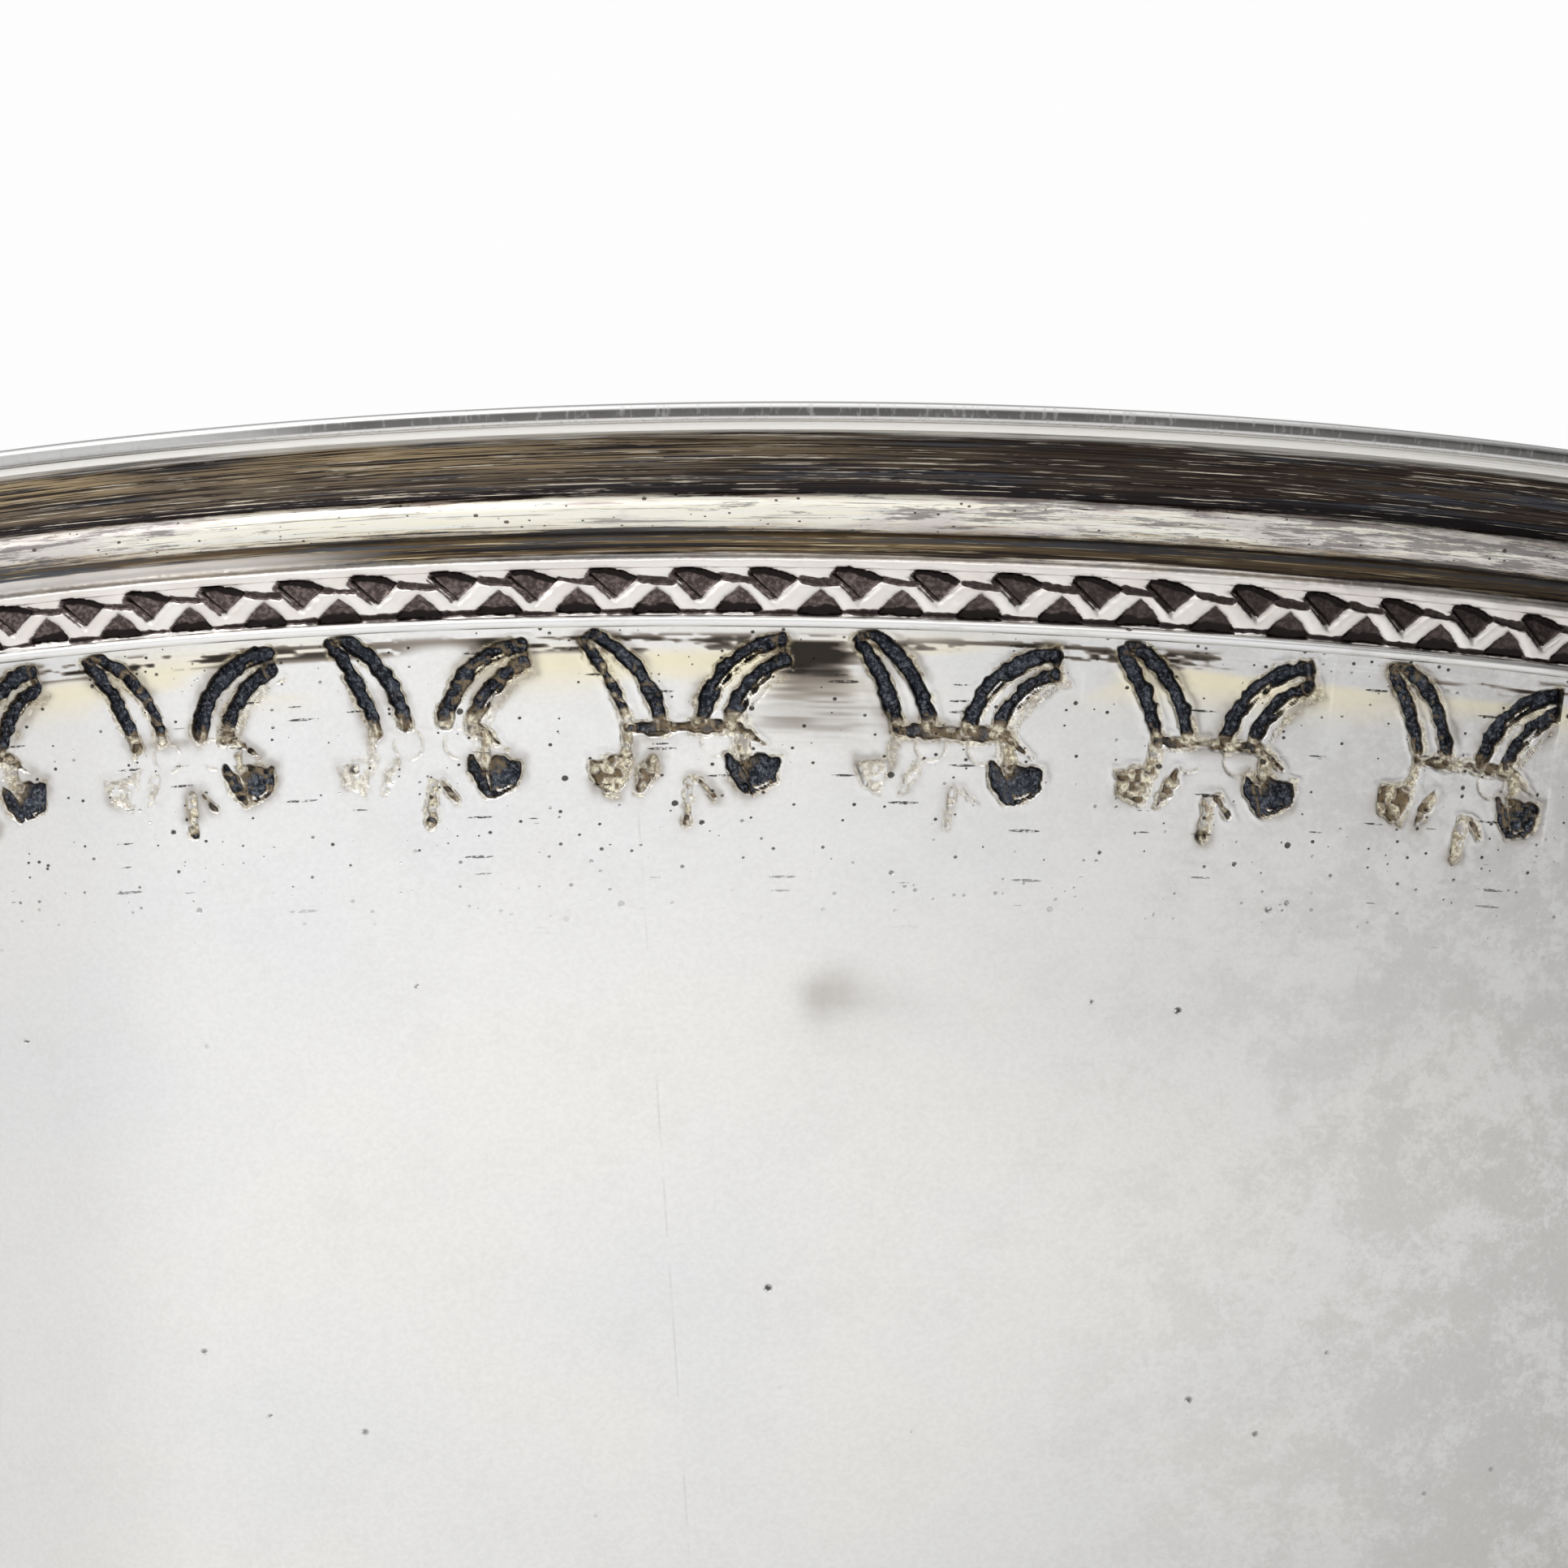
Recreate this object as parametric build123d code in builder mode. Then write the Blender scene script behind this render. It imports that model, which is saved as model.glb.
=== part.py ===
"""Deep round offering plate: a flared sheet-metal wall with a moulded, punched rim,
a spun base on a low foot, and a loose felt pad that lifts out."""
import os
from math import cos, radians, sin, tan

from build123d import *
from build123d import SkipClean

# ---- Driving dimensions (mm, degrees) ----
wall_top_radius = 123.7     # outer skin of the wall at its top edge
wall_top_height = 87.3
wall_flare = 19.0           # lean of the wall away from upright
sheet = 1.2                 # thickness of wall and base sheet
joint_height = 16.0         # wall and base pan meet here

lip_rise = 1.1              # lip wire above the wall's edge
lip_reach = 3.3             # lip wire out from the wall's skin
lip_round = 0.5

cove_drop = 4.15            # heights down the wall, from its top edge
torus_drop = 6.5
groove_drop = 8.1
strip_drop = 8.6
zigzag_drop = 11.4
fillet_drop = 12.1

cove_shoulder = 0.5         # plain edge above the hollow
cove_top_reach = 2.7
cove_foot_reach = 1.7
cove_depth = 0.7            # how far the hollow bites in behind its chord
torus_reach = 2.4
torus_seat_reach = 1.3
groove_reach = 0.6          # floor of the groove under the torus
strip_reach = 1.0
zigzag_reach = 0.9
fillet_reach = 1.2

punch_count = 160           # triangles in each row
punch_depth = 0.5
upper_punch_width = 2.9
upper_punch_height = 1.5
lower_punch_width = 2.5
lower_punch_height = 1.6
punch_edge_gap = 0.15       # between a punch and the strip's border

floor_bottom = 7.0          # underside of the base pan
corner_radius = 6.0         # outside of the base pan's corner
seam_wire_radius = 1.1

foot_top_inner = 86.0
foot_top_outer = 90.0
foot_bottom_inner = 91.4
foot_sheet = 1.2
foot_swell = 0.3            # middle of the foot's outside beyond its top
foot_wire_height = 2.6
foot_wire_width = 3.6
foot_wire_round = 1.2

pad_clearance = 0.1         # pad above the base pan at rest
pad_radius = 91.0
board_thick = 2.0
felt_thick = 4.0
felt_round = 1.2

base_felt_radius = 85.0
base_felt_thick = 1.5

# ---- Derived places ----
lean = radians(wall_flare)
slope = tan(lean)
joint_drop = (wall_top_height - joint_height) / cos(lean)
floor_top = floor_bottom + sheet


def outer_radius(height):
    """Radius of the wall's outer skin at a height."""
    return wall_top_radius - (wall_top_height - height) * slope


# Profiles of the wall and rim are drawn on the wall's own slope:
# x runs out from the outer skin, y runs up along it from the top edge.
skin = Plane(
    origin=(wall_top_radius, 0, wall_top_height),
    x_dir=(cos(lean), 0, -sin(lean)),
    z_dir=(0, -1, 0),
)

os.makedirs("parts", exist_ok=True)


def finish(builder, name):
    """Label a finished piece and write it as its own STEP file."""
    builder.part.label = name
    export_step(builder.part, f"parts/{name}.step")


# ---- Wall: tapered band of sheet ----
with BuildPart() as wall:
    with BuildSketch(skin):
        with BuildLine():
            Polyline(
                (0, 0),
                (0, -joint_drop),
                (-sheet, -joint_drop),
                (-sheet, 0),
                close=True,
            )
        make_face()
    revolve(axis=Axis.Z)
finish(wall, "wall")

# ---- Lip wire: rounded bar that closes the top edge ----
with BuildPart() as lip_wire:
    with BuildSketch(skin):
        with Locations(((lip_reach - sheet) / 2, lip_rise / 2)):
            RectangleRounded(lip_reach + sheet, lip_rise, lip_round)
    revolve(axis=Axis.Z)
finish(lip_wire, "lip_wire")

# ---- Cove band: hollow moulding under the lip ----
with BuildPart() as cove_band:
    with BuildSketch(skin):
        with BuildLine():
            Polyline(
                (cove_foot_reach, -cove_drop),
                (0, -cove_drop),
                (0, 0),
                (cove_top_reach, 0),
                (cove_top_reach, -cove_shoulder),
            )
            ThreePointArc(
                (cove_top_reach, -cove_shoulder),
                (
                    (cove_top_reach + cove_foot_reach) / 2 - cove_depth,
                    -(cove_shoulder + cove_drop) / 2,
                ),
                (cove_foot_reach, -cove_drop),
            )
        make_face()
    revolve(axis=Axis.Z)
finish(cove_band, "cove_band")

# ---- Torus band: rounded moulding under the cove ----
with BuildPart() as torus_band:
    with BuildSketch(skin):
        with BuildLine():
            Polyline(
                (cove_foot_reach, -cove_drop),
                (0, -cove_drop),
                (0, -torus_drop),
                (torus_seat_reach, -torus_drop),
            )
            ThreePointArc(
                (torus_seat_reach, -torus_drop),
                (torus_reach, -(cove_drop + torus_drop) / 2),
                (cove_foot_reach, -cove_drop),
            )
        make_face()
    revolve(axis=Axis.Z)
finish(torus_band, "torus_band")

# ---- Zigzag band: groove, plain strip, and a field struck with triangles ----
field_top = -strip_drop - punch_edge_gap
field_bottom = -zigzag_drop + punch_edge_gap
pitch_angle = 360 / punch_count
punch_face = Plane(
    origin=skin.from_local_coords((zigzag_reach, 0, 0)),
    x_dir=(0, 1, 0),
    z_dir=skin.x_dir,
)

with BuildPart() as upper_punch:
    with BuildSketch(punch_face):
        with BuildLine():
            Polyline(
                (-upper_punch_width / 2, field_top),
                (upper_punch_width / 2, field_top),
                (0, field_top - upper_punch_height),
                close=True,
            )
        make_face()
    extrude(amount=punch_depth, both=True)

with BuildPart() as lower_punch:
    with BuildSketch(punch_face):
        with BuildLine():
            Polyline(
                (-lower_punch_width / 2, field_bottom),
                (lower_punch_width / 2, field_bottom),
                (0, field_bottom + lower_punch_height),
                close=True,
            )
        make_face()
    extrude(amount=punch_depth, both=True)

# One pitch of the band holds a whole upper punch and half a lower punch at each end.
with BuildPart() as band_pitch:
    with BuildSketch(skin):
        with BuildLine():
            Polyline(
                (torus_seat_reach, -torus_drop),
                (0, -torus_drop),
                (0, -zigzag_drop),
                (zigzag_reach, -zigzag_drop),
                (zigzag_reach, -strip_drop),
                (strip_reach, -strip_drop),
                (strip_reach, -groove_drop),
            )
            ThreePointArc(
                (strip_reach, -groove_drop),
                (groove_reach, -(torus_drop + groove_drop) / 2),
                (torus_seat_reach, -torus_drop),
            )
        make_face()
    revolve(axis=Axis.Z, revolution_arc=pitch_angle)
    with PolarLocations(0, 1, start_angle=pitch_angle / 2):
        add(upper_punch.part, mode=Mode.SUBTRACT)
    with PolarLocations(0, 2, angular_range=pitch_angle, endpoint=True):
        add(lower_punch.part, mode=Mode.SUBTRACT)

with BuildPart() as zigzag_band:
    with PolarLocations(0, punch_count), SkipClean():
        add(band_pitch.part)
finish(zigzag_band, "zigzag_band")

# ---- Fillet wire: thin round-nosed wire under the zigzag ----
fillet_shoulder = fillet_reach - (fillet_drop - zigzag_drop) / 2
with BuildPart() as fillet_wire:
    with BuildSketch(skin):
        with BuildLine():
            Polyline(
                (fillet_shoulder, -zigzag_drop),
                (0, -zigzag_drop),
                (0, -fillet_drop),
                (fillet_shoulder, -fillet_drop),
            )
            ThreePointArc(
                (fillet_shoulder, -fillet_drop),
                (fillet_reach, -(zigzag_drop + fillet_drop) / 2),
                (fillet_shoulder, -zigzag_drop),
            )
        make_face()
    revolve(axis=Axis.Z)
finish(fillet_wire, "fillet_wire")

# ---- Base pan: flat floor, rounded corner, short upstand that meets the wall ----
inner_shift = sheet / cos(lean)
joint_out = outer_radius(joint_height)
corner_out = outer_radius(floor_bottom)
joint_face = skin.from_local_coords((-sheet, -joint_drop, 0))

with BuildPart() as base_pan:
    with BuildSketch(Plane.XZ):
        with BuildLine():
            outline = FilletPolyline(
                (0, floor_bottom),
                (corner_out, floor_bottom),
                (joint_out, joint_height),
                radius=corner_radius,
            )
            liner = FilletPolyline(
                (0, floor_top),
                (outer_radius(floor_top) - inner_shift, floor_top),
                (joint_face.X, joint_face.Z),
                radius=corner_radius - sheet,
            )
            Line(outline @ 0, liner @ 0)
            Line(outline @ 1, liner @ 1)
        make_face()
    revolve(axis=Axis.Z)
finish(base_pan, "base_pan")

# ---- Seam wire: half-round over the joint of wall and pan ----
with BuildPart() as seam_wire:
    with BuildSketch(skin):
        with BuildLine():
            Line((0, -joint_drop + seam_wire_radius), (0, -joint_drop - seam_wire_radius))
            ThreePointArc(
                (0, -joint_drop - seam_wire_radius),
                (seam_wire_radius, -joint_drop),
                (0, -joint_drop + seam_wire_radius),
            )
        make_face()
    revolve(axis=Axis.Z)
finish(seam_wire, "seam_wire")

# ---- Foot: hollow-curved band standing on a flat-bottomed wire ----
foot_bottom_outer = foot_bottom_inner + foot_sheet
with BuildPart() as foot_band:
    with BuildSketch(Plane.XZ):
        with BuildLine():
            Polyline(
                (foot_bottom_inner, foot_wire_height),
                (foot_bottom_outer, foot_wire_height),
            )
            ThreePointArc(
                (foot_bottom_outer, foot_wire_height),
                (foot_top_outer + foot_swell, (foot_wire_height + floor_bottom) / 2),
                (foot_top_outer, floor_bottom),
            )
            Polyline(
                (foot_top_outer, floor_bottom),
                (foot_top_inner, floor_bottom),
                (foot_top_inner, floor_bottom - foot_sheet),
                (foot_top_outer - foot_sheet, floor_bottom - foot_sheet),
                (foot_bottom_inner, foot_wire_height),
            )
        make_face()
    revolve(axis=Axis.Z)
finish(foot_band, "foot_band")

foot_wire_middle = foot_bottom_inner + foot_wire_width / 2
with BuildPart() as foot_wire:
    with BuildSketch(Plane.XZ) as foot_wire_profile:
        with Locations((foot_wire_middle, foot_wire_height / 2)):
            Rectangle(foot_wire_width, foot_wire_height)
        fillet(foot_wire_profile.vertices().group_by(Axis.X)[-1], foot_wire_round)
    revolve(axis=Axis.Z)
finish(foot_wire, "foot_wire")

# ---- Loose pad: stiff board with felt on top ----
board_bottom = floor_top + pad_clearance
felt_bottom = board_bottom + board_thick

with BuildPart() as pad_board:
    with BuildSketch(Plane.XY.offset(board_bottom)):
        Circle(pad_radius)
    extrude(amount=board_thick)
finish(pad_board, "pad_board")

with BuildPart() as pad_felt:
    with BuildSketch(Plane.XY.offset(felt_bottom)):
        Circle(pad_radius)
    extrude(amount=felt_thick)
    fillet(pad_felt.edges().group_by(Axis.Z)[-1], felt_round)
finish(pad_felt, "pad_felt")

# ---- Felt disc glued under the base pan ----
with BuildPart() as base_felt:
    with BuildSketch(Plane.XY.offset(floor_bottom - base_felt_thick)):
        Circle(base_felt_radius)
    extrude(amount=base_felt_thick)
finish(base_felt, "base_felt")
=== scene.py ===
"""Looks of a deep round offering plate: worn silver plate with a struck border under a
tarnished moulded rim, a low foot and a loose wool felt pad, in soft studio light."""
import math

import bpy
import numpy as np
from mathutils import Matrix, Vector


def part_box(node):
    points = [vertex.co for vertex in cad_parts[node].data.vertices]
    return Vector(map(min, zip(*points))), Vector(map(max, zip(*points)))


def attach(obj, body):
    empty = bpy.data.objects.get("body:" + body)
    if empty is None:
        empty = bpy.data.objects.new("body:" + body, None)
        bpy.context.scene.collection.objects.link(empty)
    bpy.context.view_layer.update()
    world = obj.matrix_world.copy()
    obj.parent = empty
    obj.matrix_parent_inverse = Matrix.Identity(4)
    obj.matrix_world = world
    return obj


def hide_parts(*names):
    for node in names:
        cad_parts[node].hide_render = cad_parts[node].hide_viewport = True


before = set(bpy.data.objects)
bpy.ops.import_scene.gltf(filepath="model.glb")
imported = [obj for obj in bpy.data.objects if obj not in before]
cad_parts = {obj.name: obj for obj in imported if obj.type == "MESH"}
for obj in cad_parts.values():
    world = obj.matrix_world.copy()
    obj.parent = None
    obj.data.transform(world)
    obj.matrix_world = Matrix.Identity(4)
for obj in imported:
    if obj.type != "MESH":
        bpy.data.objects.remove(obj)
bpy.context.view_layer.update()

MM = 0.001
TAU = 2 * math.pi

# ---- Sizes in millimetres, on the wall's own slope: out from its skin, drop down from its top ----
LEAN = math.radians(19.0)
SIN, COS = math.sin(LEAN), math.cos(LEAN)
SHEET = 1.2
TOP_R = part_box("wall")[1][0] / MM
TOP_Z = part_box("wall")[1][2] / MM - SHEET * SIN
JOINT_Z = 16.0
JOINT_DROP = (TOP_Z - JOINT_Z) / COS

LIP_REACH, LIP_RISE, LIP_ROUND = 3.3, 1.1, 0.5
COVE_TOP, COVE_SHOULDER, COVE_FOOT, COVE_MIDDLE, COVE_DROP = 2.7, 0.5, 1.7, 1.5, 4.15
TORUS_DROP, TORUS_REACH, TORUS_SEAT = 6.5, 2.4, 1.3
GROOVE_DROP, GROOVE_REACH = 8.1, 0.6
STRIP_REACH = 1.0
ZIGZAG_DROP, ZIGZAG_REACH = 11.4, 0.9
FILLET_DROP, FILLET_REACH = 12.1, 1.2
SEAM_ROUND = 1.1
CORNER_ROUND = 6.0          # round of the base pan's outer corner
COLLAR_TOP, COLLAR_WAIST, FLANGE_IN = 90.0, 90.3, 86.0      # radii of the foot's collar
FOOT_WIDTH, FOOT_ROUND = 3.6, 1.2
STITCH_IN = 3.6             # the felt's stitches from its edge
STITCHES = 150

# ---- The struck border ----
PUNCHES = 160               # zigzag pitches round the rim
ZIGZAG_TURN = 0.07          # pitches from the front to the first punch
STRIKES = 48                # motifs round the wall
FRIEZE_TURN = 0.64          # motifs from the front to the first strike
BOSS_DROP = 18.8            # drop of the row of pearls
FRIEZE_TOP, FRIEZE_BOTTOM = 12.3, 25.5
RIM_DRIFT = 0.036           # the rim was laid out by eye and narrows to the right of the front
DENT_DROP = 34.2           # drop of the dent below the border, under its painted dark reflection

# ---- Mesh columns: (near the front, elsewhere) per pitch or motif, or all round ----
FRONT = math.radians(33)    # the fine meshes run this far each side of the front
PUNCH_COLUMNS = (44, 16)
STRIKE_COLUMNS = (150, 36)
PLAIN_SHARE = 6             # one plain wall column to so many fine ones
RIM_COLUMNS, WIRE_COLUMNS, DISC_COLUMNS = 1440, 960, 720
NOISE_ROWS = 509            # rows in a table of noise before it repeats


def on_slope(out, drop):
    """Radius and height of a point given on the wall's slope."""
    return TOP_R + out * COS - drop * SIN, TOP_Z - out * SIN - drop * COS


def smooth(value, low, high):
    """0 below low, 1 above high, eased between."""
    share = np.clip((value - low) / (high - low), 0, 1)
    return share * share * (3 - 2 * share)


def hump(offset, width, power=2):
    """1 where offset is 0, falling away over about width; a higher power squares it off."""
    return np.exp(-((offset / width) ** power))


def noise(theta, height, cell, rise, seed):
    """Smooth noise from 0 to 1 round the plate, cell mm wide at the rim and rise mm high."""
    cells = max(3, round(TAU * TOP_R / cell))
    table = np.random.default_rng(seed).random((cells, NOISE_ROWS))
    x = (theta / TAU) % 1 * cells
    y = height / rise
    column = np.floor(x).astype(int)
    row = np.floor(y).astype(int)
    fx = smooth(x - column, 0, 1)
    fy = smooth(y - row, 0, 1)

    def across(up):
        here = table[column % cells, (row + up) % NOISE_ROWS]
        return here * (1 - fx) + table[(column + 1) % cells, (row + up) % NOISE_ROWS] * fx

    return across(0) * (1 - fy) + across(1) * fy


def uneven(theta, height, cell, rise, seed):
    """The same noise from -0.5 to 0.5."""
    return noise(theta, height, cell, rise, seed) - 0.5


def flat_noise(radius, theta, cell, seed):
    """The same noise over a flat disc, its cells the same size in every direction."""
    return uneven(radius * np.sin(theta) / TOP_R, radius * np.cos(theta), cell, cell, seed)


def drift(theta, drop):
    """How far the hand-laid rim and border stray up or down the wall at an angle."""
    reach = np.interp(drop, [-2, 13, 26, 45], [-2, 13, 13, 0])
    return -RIM_DRIFT * reach * np.sin(4 * theta) + 0.08 * uneven(theta, 0 * theta, 30, 1, 5)


# ---- Meshes ----
def add_object(name, data):
    """An object in the scene that holds a mesh, a light or a camera."""
    made = bpy.data.objects.new(name, data)
    bpy.context.scene.collection.objects.link(made)
    return made


def add_mesh(name, points, faces, attributes, crease):
    """A mesh object from points in mm, arrays of faces, and named values at each point."""
    mesh = bpy.data.meshes.new(name)
    mesh.vertices.add(len(points))
    mesh.vertices.foreach_set("co", (points * MM).astype(np.float32).ravel())
    corners = np.concatenate([group.ravel() for group in faces])
    sizes = np.concatenate([np.full(len(group), group.shape[1]) for group in faces])
    mesh.loops.add(len(corners))
    mesh.loops.foreach_set("vertex_index", corners.astype(np.int32))
    mesh.polygons.add(len(sizes))
    starts = np.concatenate([[0], np.cumsum(sizes)[:-1]])
    mesh.polygons.foreach_set("loop_start", starts.astype(np.int32))
    mesh.update(calc_edges=True)
    for key, values in attributes.items():
        layer = mesh.attributes.new(key, "FLOAT", "POINT")
        layer.data.foreach_set("value", values.astype(np.float32).ravel())
    mesh.shade_smooth()
    mesh.set_sharp_from_angle(angle=math.radians(crease))
    return add_object(name, mesh)


def between(first, n_first, second, n_second):
    """Faces between two closed loops of points, where one has a whole multiple of the other's."""
    if n_first >= n_second:
        ratio = n_first // n_second
        here = np.arange(n_second)
        fan = [first + (here * ratio + k) % n_first for k in range(ratio + 1)]
        return np.stack(fan + [second + (here + 1) % n_second, second + here], 1)
    ratio = n_second // n_first
    here = np.arange(n_first)
    fan = [second + (here * ratio + k) % n_second for k in range(ratio, -1, -1)]
    return np.stack([first + here, first + (here + 1) % n_first] + fan, 1)


def loops_mesh(name, loops, attributes, closed, crease=32):
    """A mesh through a list of closed loops of points, joined in order, capped if not closed."""
    counts = [len(loop) for loop in loops]
    starts = np.concatenate([[0], np.cumsum(counts)[:-1]])
    faces = []
    for k in range(len(loops) - (0 if closed else 1)):
        m = (k + 1) % len(loops)
        faces.append(between(starts[k], counts[k], starts[m], counts[m]))
    if not closed:
        faces.append((starts[0] + np.arange(counts[0]))[None, ::-1])
        faces.append((starts[-1] + np.arange(counts[-1]))[None, :])
    flat = {key: np.concatenate([np.ravel(v) for v in rows]) for key, rows in attributes.items()}
    return add_mesh(name, np.concatenate(loops), faces, flat, crease)


def round_size(node):
    """Radius, underside and top of a round node, in mm."""
    low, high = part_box(node)
    return high[0] / MM, low[2] / MM, high[2] / MM


def angles_round(columns):
    """Even angles all round the plate, from the front."""
    return np.linspace(0, TAU, columns, endpoint=False)


def loop_at(radius, height, theta):
    """Points in mm round the plate at a radius and height."""
    radius = radius + np.zeros_like(theta)
    height = height + np.zeros_like(theta)
    return np.stack([radius * np.sin(theta), -radius * np.cos(theta), height], -1)


def circle_through(a, b, c):
    """Centre, radius, start angle and signed sweep of the arc from a through b to c."""
    (ax, ay), (bx, by), (cx, cy) = a, b, c
    double = 2 * (ax * (by - cy) + bx * (cy - ay) + cx * (ay - by))
    sa, sb, sc = ax * ax + ay * ay, bx * bx + by * by, cx * cx + cy * cy
    ox = (sa * (by - cy) + sb * (cy - ay) + sc * (ay - by)) / double
    oy = (sa * (cx - bx) + sb * (ax - cx) + sc * (bx - ax)) / double
    start = math.atan2(ay - oy, ax - ox)
    middle = (math.atan2(by - oy, bx - ox) - start) % TAU
    span = (math.atan2(cy - oy, cx - ox) - start) % TAU
    if middle > span:
        span -= TAU
    return (ox, oy), math.hypot(ax - ox, ay - oy), start, span


def arc(a, b, c, count):
    """Points on the circle through a, b and c, from a to c."""
    (ox, oy), radius, start, span = circle_through(a, b, c)
    turn = start + span * np.linspace(0, 1, count)
    return [(ox + radius * math.cos(t), oy + radius * math.sin(t)) for t in turn]


def ring(name, section, columns, seed, on_wall=True, wobble=0.04):
    """A ring swept from a closed section, a little uneven as if made by hand."""
    theta = angles_round(columns)
    cell = 9 if on_wall else 16
    loops, level = [], []
    for k, (first, second) in enumerate(section):
        sway = wobble * (noise(theta, 0 * theta + k * 0.06, cell, 1, seed) - 0.7)
        radius, height = first + sway, second
        if on_wall:
            radius, height = on_slope(first + sway, second - drift(theta, second))
        loops.append(loop_at(radius, height, theta))
        level.append(np.full(columns, second))
    return loops_mesh(name, loops, {"drop": level}, closed=True)


# ---- Strokes of a punch ----
def straight(u, v, start, end):
    """Distance from a straight stroke, and how far along it."""
    dx, dy = end[0] - start[0], end[1] - start[1]
    share = np.clip(((u - start[0]) * dx + (v - start[1]) * dy) / (dx * dx + dy * dy), 0, 1)
    return np.hypot(u - start[0] - share * dx, v - start[1] - share * dy), share


def bend(u, v, a, b, c):
    """Distance from a round stroke through three points, and how far along it."""
    (ox, oy), radius, start, span = circle_through(a, b, c)
    turn = np.arctan2(v - oy, u - ox) - start - span / 2
    turn = (turn + math.pi) % TAU - math.pi
    share = np.clip(turn / span + 0.5, 0, 1)
    angle = start + span * share
    return np.hypot(u - ox - radius * np.cos(angle), v - oy - radius * np.sin(angle)), share


# ---- Relief of the zigzag strip: outlines are (mm along the rim, mm down the wall) ----
UPPER_PUNCH = [(-1.67, 8.95), (-1.38, 8.57), (-0.6, 8.52), (0.55, 8.74), (1.5, 9.15), (0.0, 10.45)]
LOWER_PUNCH = [(0.0, 9.7), (0.8, 10.3), (1.42, 11.12), (1.3, 11.34), (-1.4, 11.34), (-1.52, 11.08),
               (-0.85, 10.36)]


def inset(x, y, corners):
    """Distance inside a convex outline given clockwise, with y running down; negative outside."""
    reach = np.full_like(x, 9.0)
    for (ax, ay), (bx, by) in zip(corners, corners[1:] + corners[:1]):
        side = ((bx - ax) * (y - ay) - (by - ay) * (x - ax)) / math.hypot(bx - ax, by - ay)
        reach = np.minimum(reach, side)
    return reach


def punch_places(theta, drop):
    """Places measured from the nearest upper punch and from the nearest lower punch, in mm."""
    pitch = TAU * TOP_R / PUNCHES
    turn = theta * PUNCHES / TAU + ZIGZAG_TURN
    rng = np.random.default_rng(160)
    slip = rng.normal(0, 0.11, (2, PUNCHES))
    lift = rng.normal(0, 0.05, (2, PUNCHES))
    places = []
    for row in (0, 1):
        number = np.round(turn - row / 2)
        index = number.astype(int) % PUNCHES
        places.append(((turn - row / 2 - number) * pitch - slip[row][index], drop - lift[row][index]))
    return places


def zigzag_relief(theta, drop):
    """Depth struck into the strip in mm, and how dark the strike is: 0.5 brown, 1 black, with painted shade
    included.
    """
    (x, y), (low_x, low_y) = punch_places(theta, drop)
    ragged = 0.07 * uneven(theta, drop, 0.3, 0.25, 11) + 0.08 * uneven(theta, drop, 0.9, 0.7, 12)

    cut = inset(x, y, UPPER_PUNCH) + ragged
    echo = inset(x + 0.15, y - 0.02, UPPER_PUNCH) + ragged
    slant = np.clip((10.45 - y) / 1.9, 0, 1)
    depth = smooth(cut, -0.02, 0.13) * (0.12 + 0.36 * slant)
    depth = np.maximum(depth, smooth(echo, -0.02, 0.13) * (0.05 + 0.2 * slant))
    # Inside each upper punch the black is painted along its top edge and left flank, a painted dark
    # reflection of its steep sides; the facet between is only brown.
    brow = 8.53 + 0.3 * np.maximum(x + 0.6, 0)
    flank = -1.67 + (y - 8.95) / 0.898
    facet = smooth(y - brow + 2 * ragged, 0.28, 0.5) * smooth(x - flank, 0.16, 0.36)
    dark = smooth(cut, -0.01, 0.1) * (1 - 0.5 * facet)
    dark = np.maximum(dark, 0.7 * smooth(echo, -0.01, 0.1) * (1 - smooth(cut, 0.0, 0.05)))

    low_cut = inset(low_x, low_y, LOWER_PUNCH) + ragged
    low_slant = np.clip((low_y - 9.7) / 1.6, 0, 1)
    depth = np.maximum(depth, smooth(low_cut, -0.02, 0.13) * (0.1 + 0.32 * low_slant))
    # The lower punch is painted black towards its steep bottom edge, a painted dark reflection, and brown
    # towards its apex.
    facet = 1 - smooth(low_y + 3 * ragged, 10.55, 10.95)
    dark = np.maximum(dark, smooth(low_cut, -0.01, 0.1) * (1 - 0.5 * facet))

    soft = noise(theta, drop, 1.6, 1.0, 13)
    edge = np.maximum(-np.maximum(cut, low_cut), 0)
    # Painted shade round the punches, so that the ribbon between them looks rounded.
    dark = np.maximum(dark, 0.26 * hump(edge, 0.09) * smooth(soft, 0.2, 0.6))
    dark = np.maximum(dark, 0.17 * hump(edge, 0.26))
    # Painted shadow in the grooves: the curved groove over each lower punch, the line along each upper
    # punch's left flank and the line along the bottom edge.
    for gap, deep, shade in (
        (bend(low_x, low_y, (-1.1, 9.2), (0.0, 9.36), (1.0, 9.42))[0] - 0.2 * (0.5 + soft), 0.16, 0.75),
        (straight(x, y, (-1.75, 9.1), (-0.35, 10.4))[0] - 0.13, 0.05, 0.42),
        (straight(x, y, (-1.2, 11.2), (1.2, 11.2))[0] - 0.15 * (0.6 + 0.8 * soft), 0.15, 0.85),
    ):
        groove = smooth(-gap + 1.2 * ragged, -0.07, 0.1)
        depth = np.maximum(depth, groove * deep)
        dark = np.maximum(dark, groove * shade)
    return np.maximum(depth, 0.13 * hump(edge, 0.24)), dark


def front_columns(count_round, fine, coarse):
    """Angles round the plate with fine columns near the front and coarse ones elsewhere."""
    step = TAU / count_round
    angles = []
    for k in range(count_round):
        start = -math.pi + k * step
        columns = fine if abs(start + step / 2) < FRONT else coarse
        angles.append(start + step * np.arange(columns) / columns)
    return np.concatenate(angles)


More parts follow.
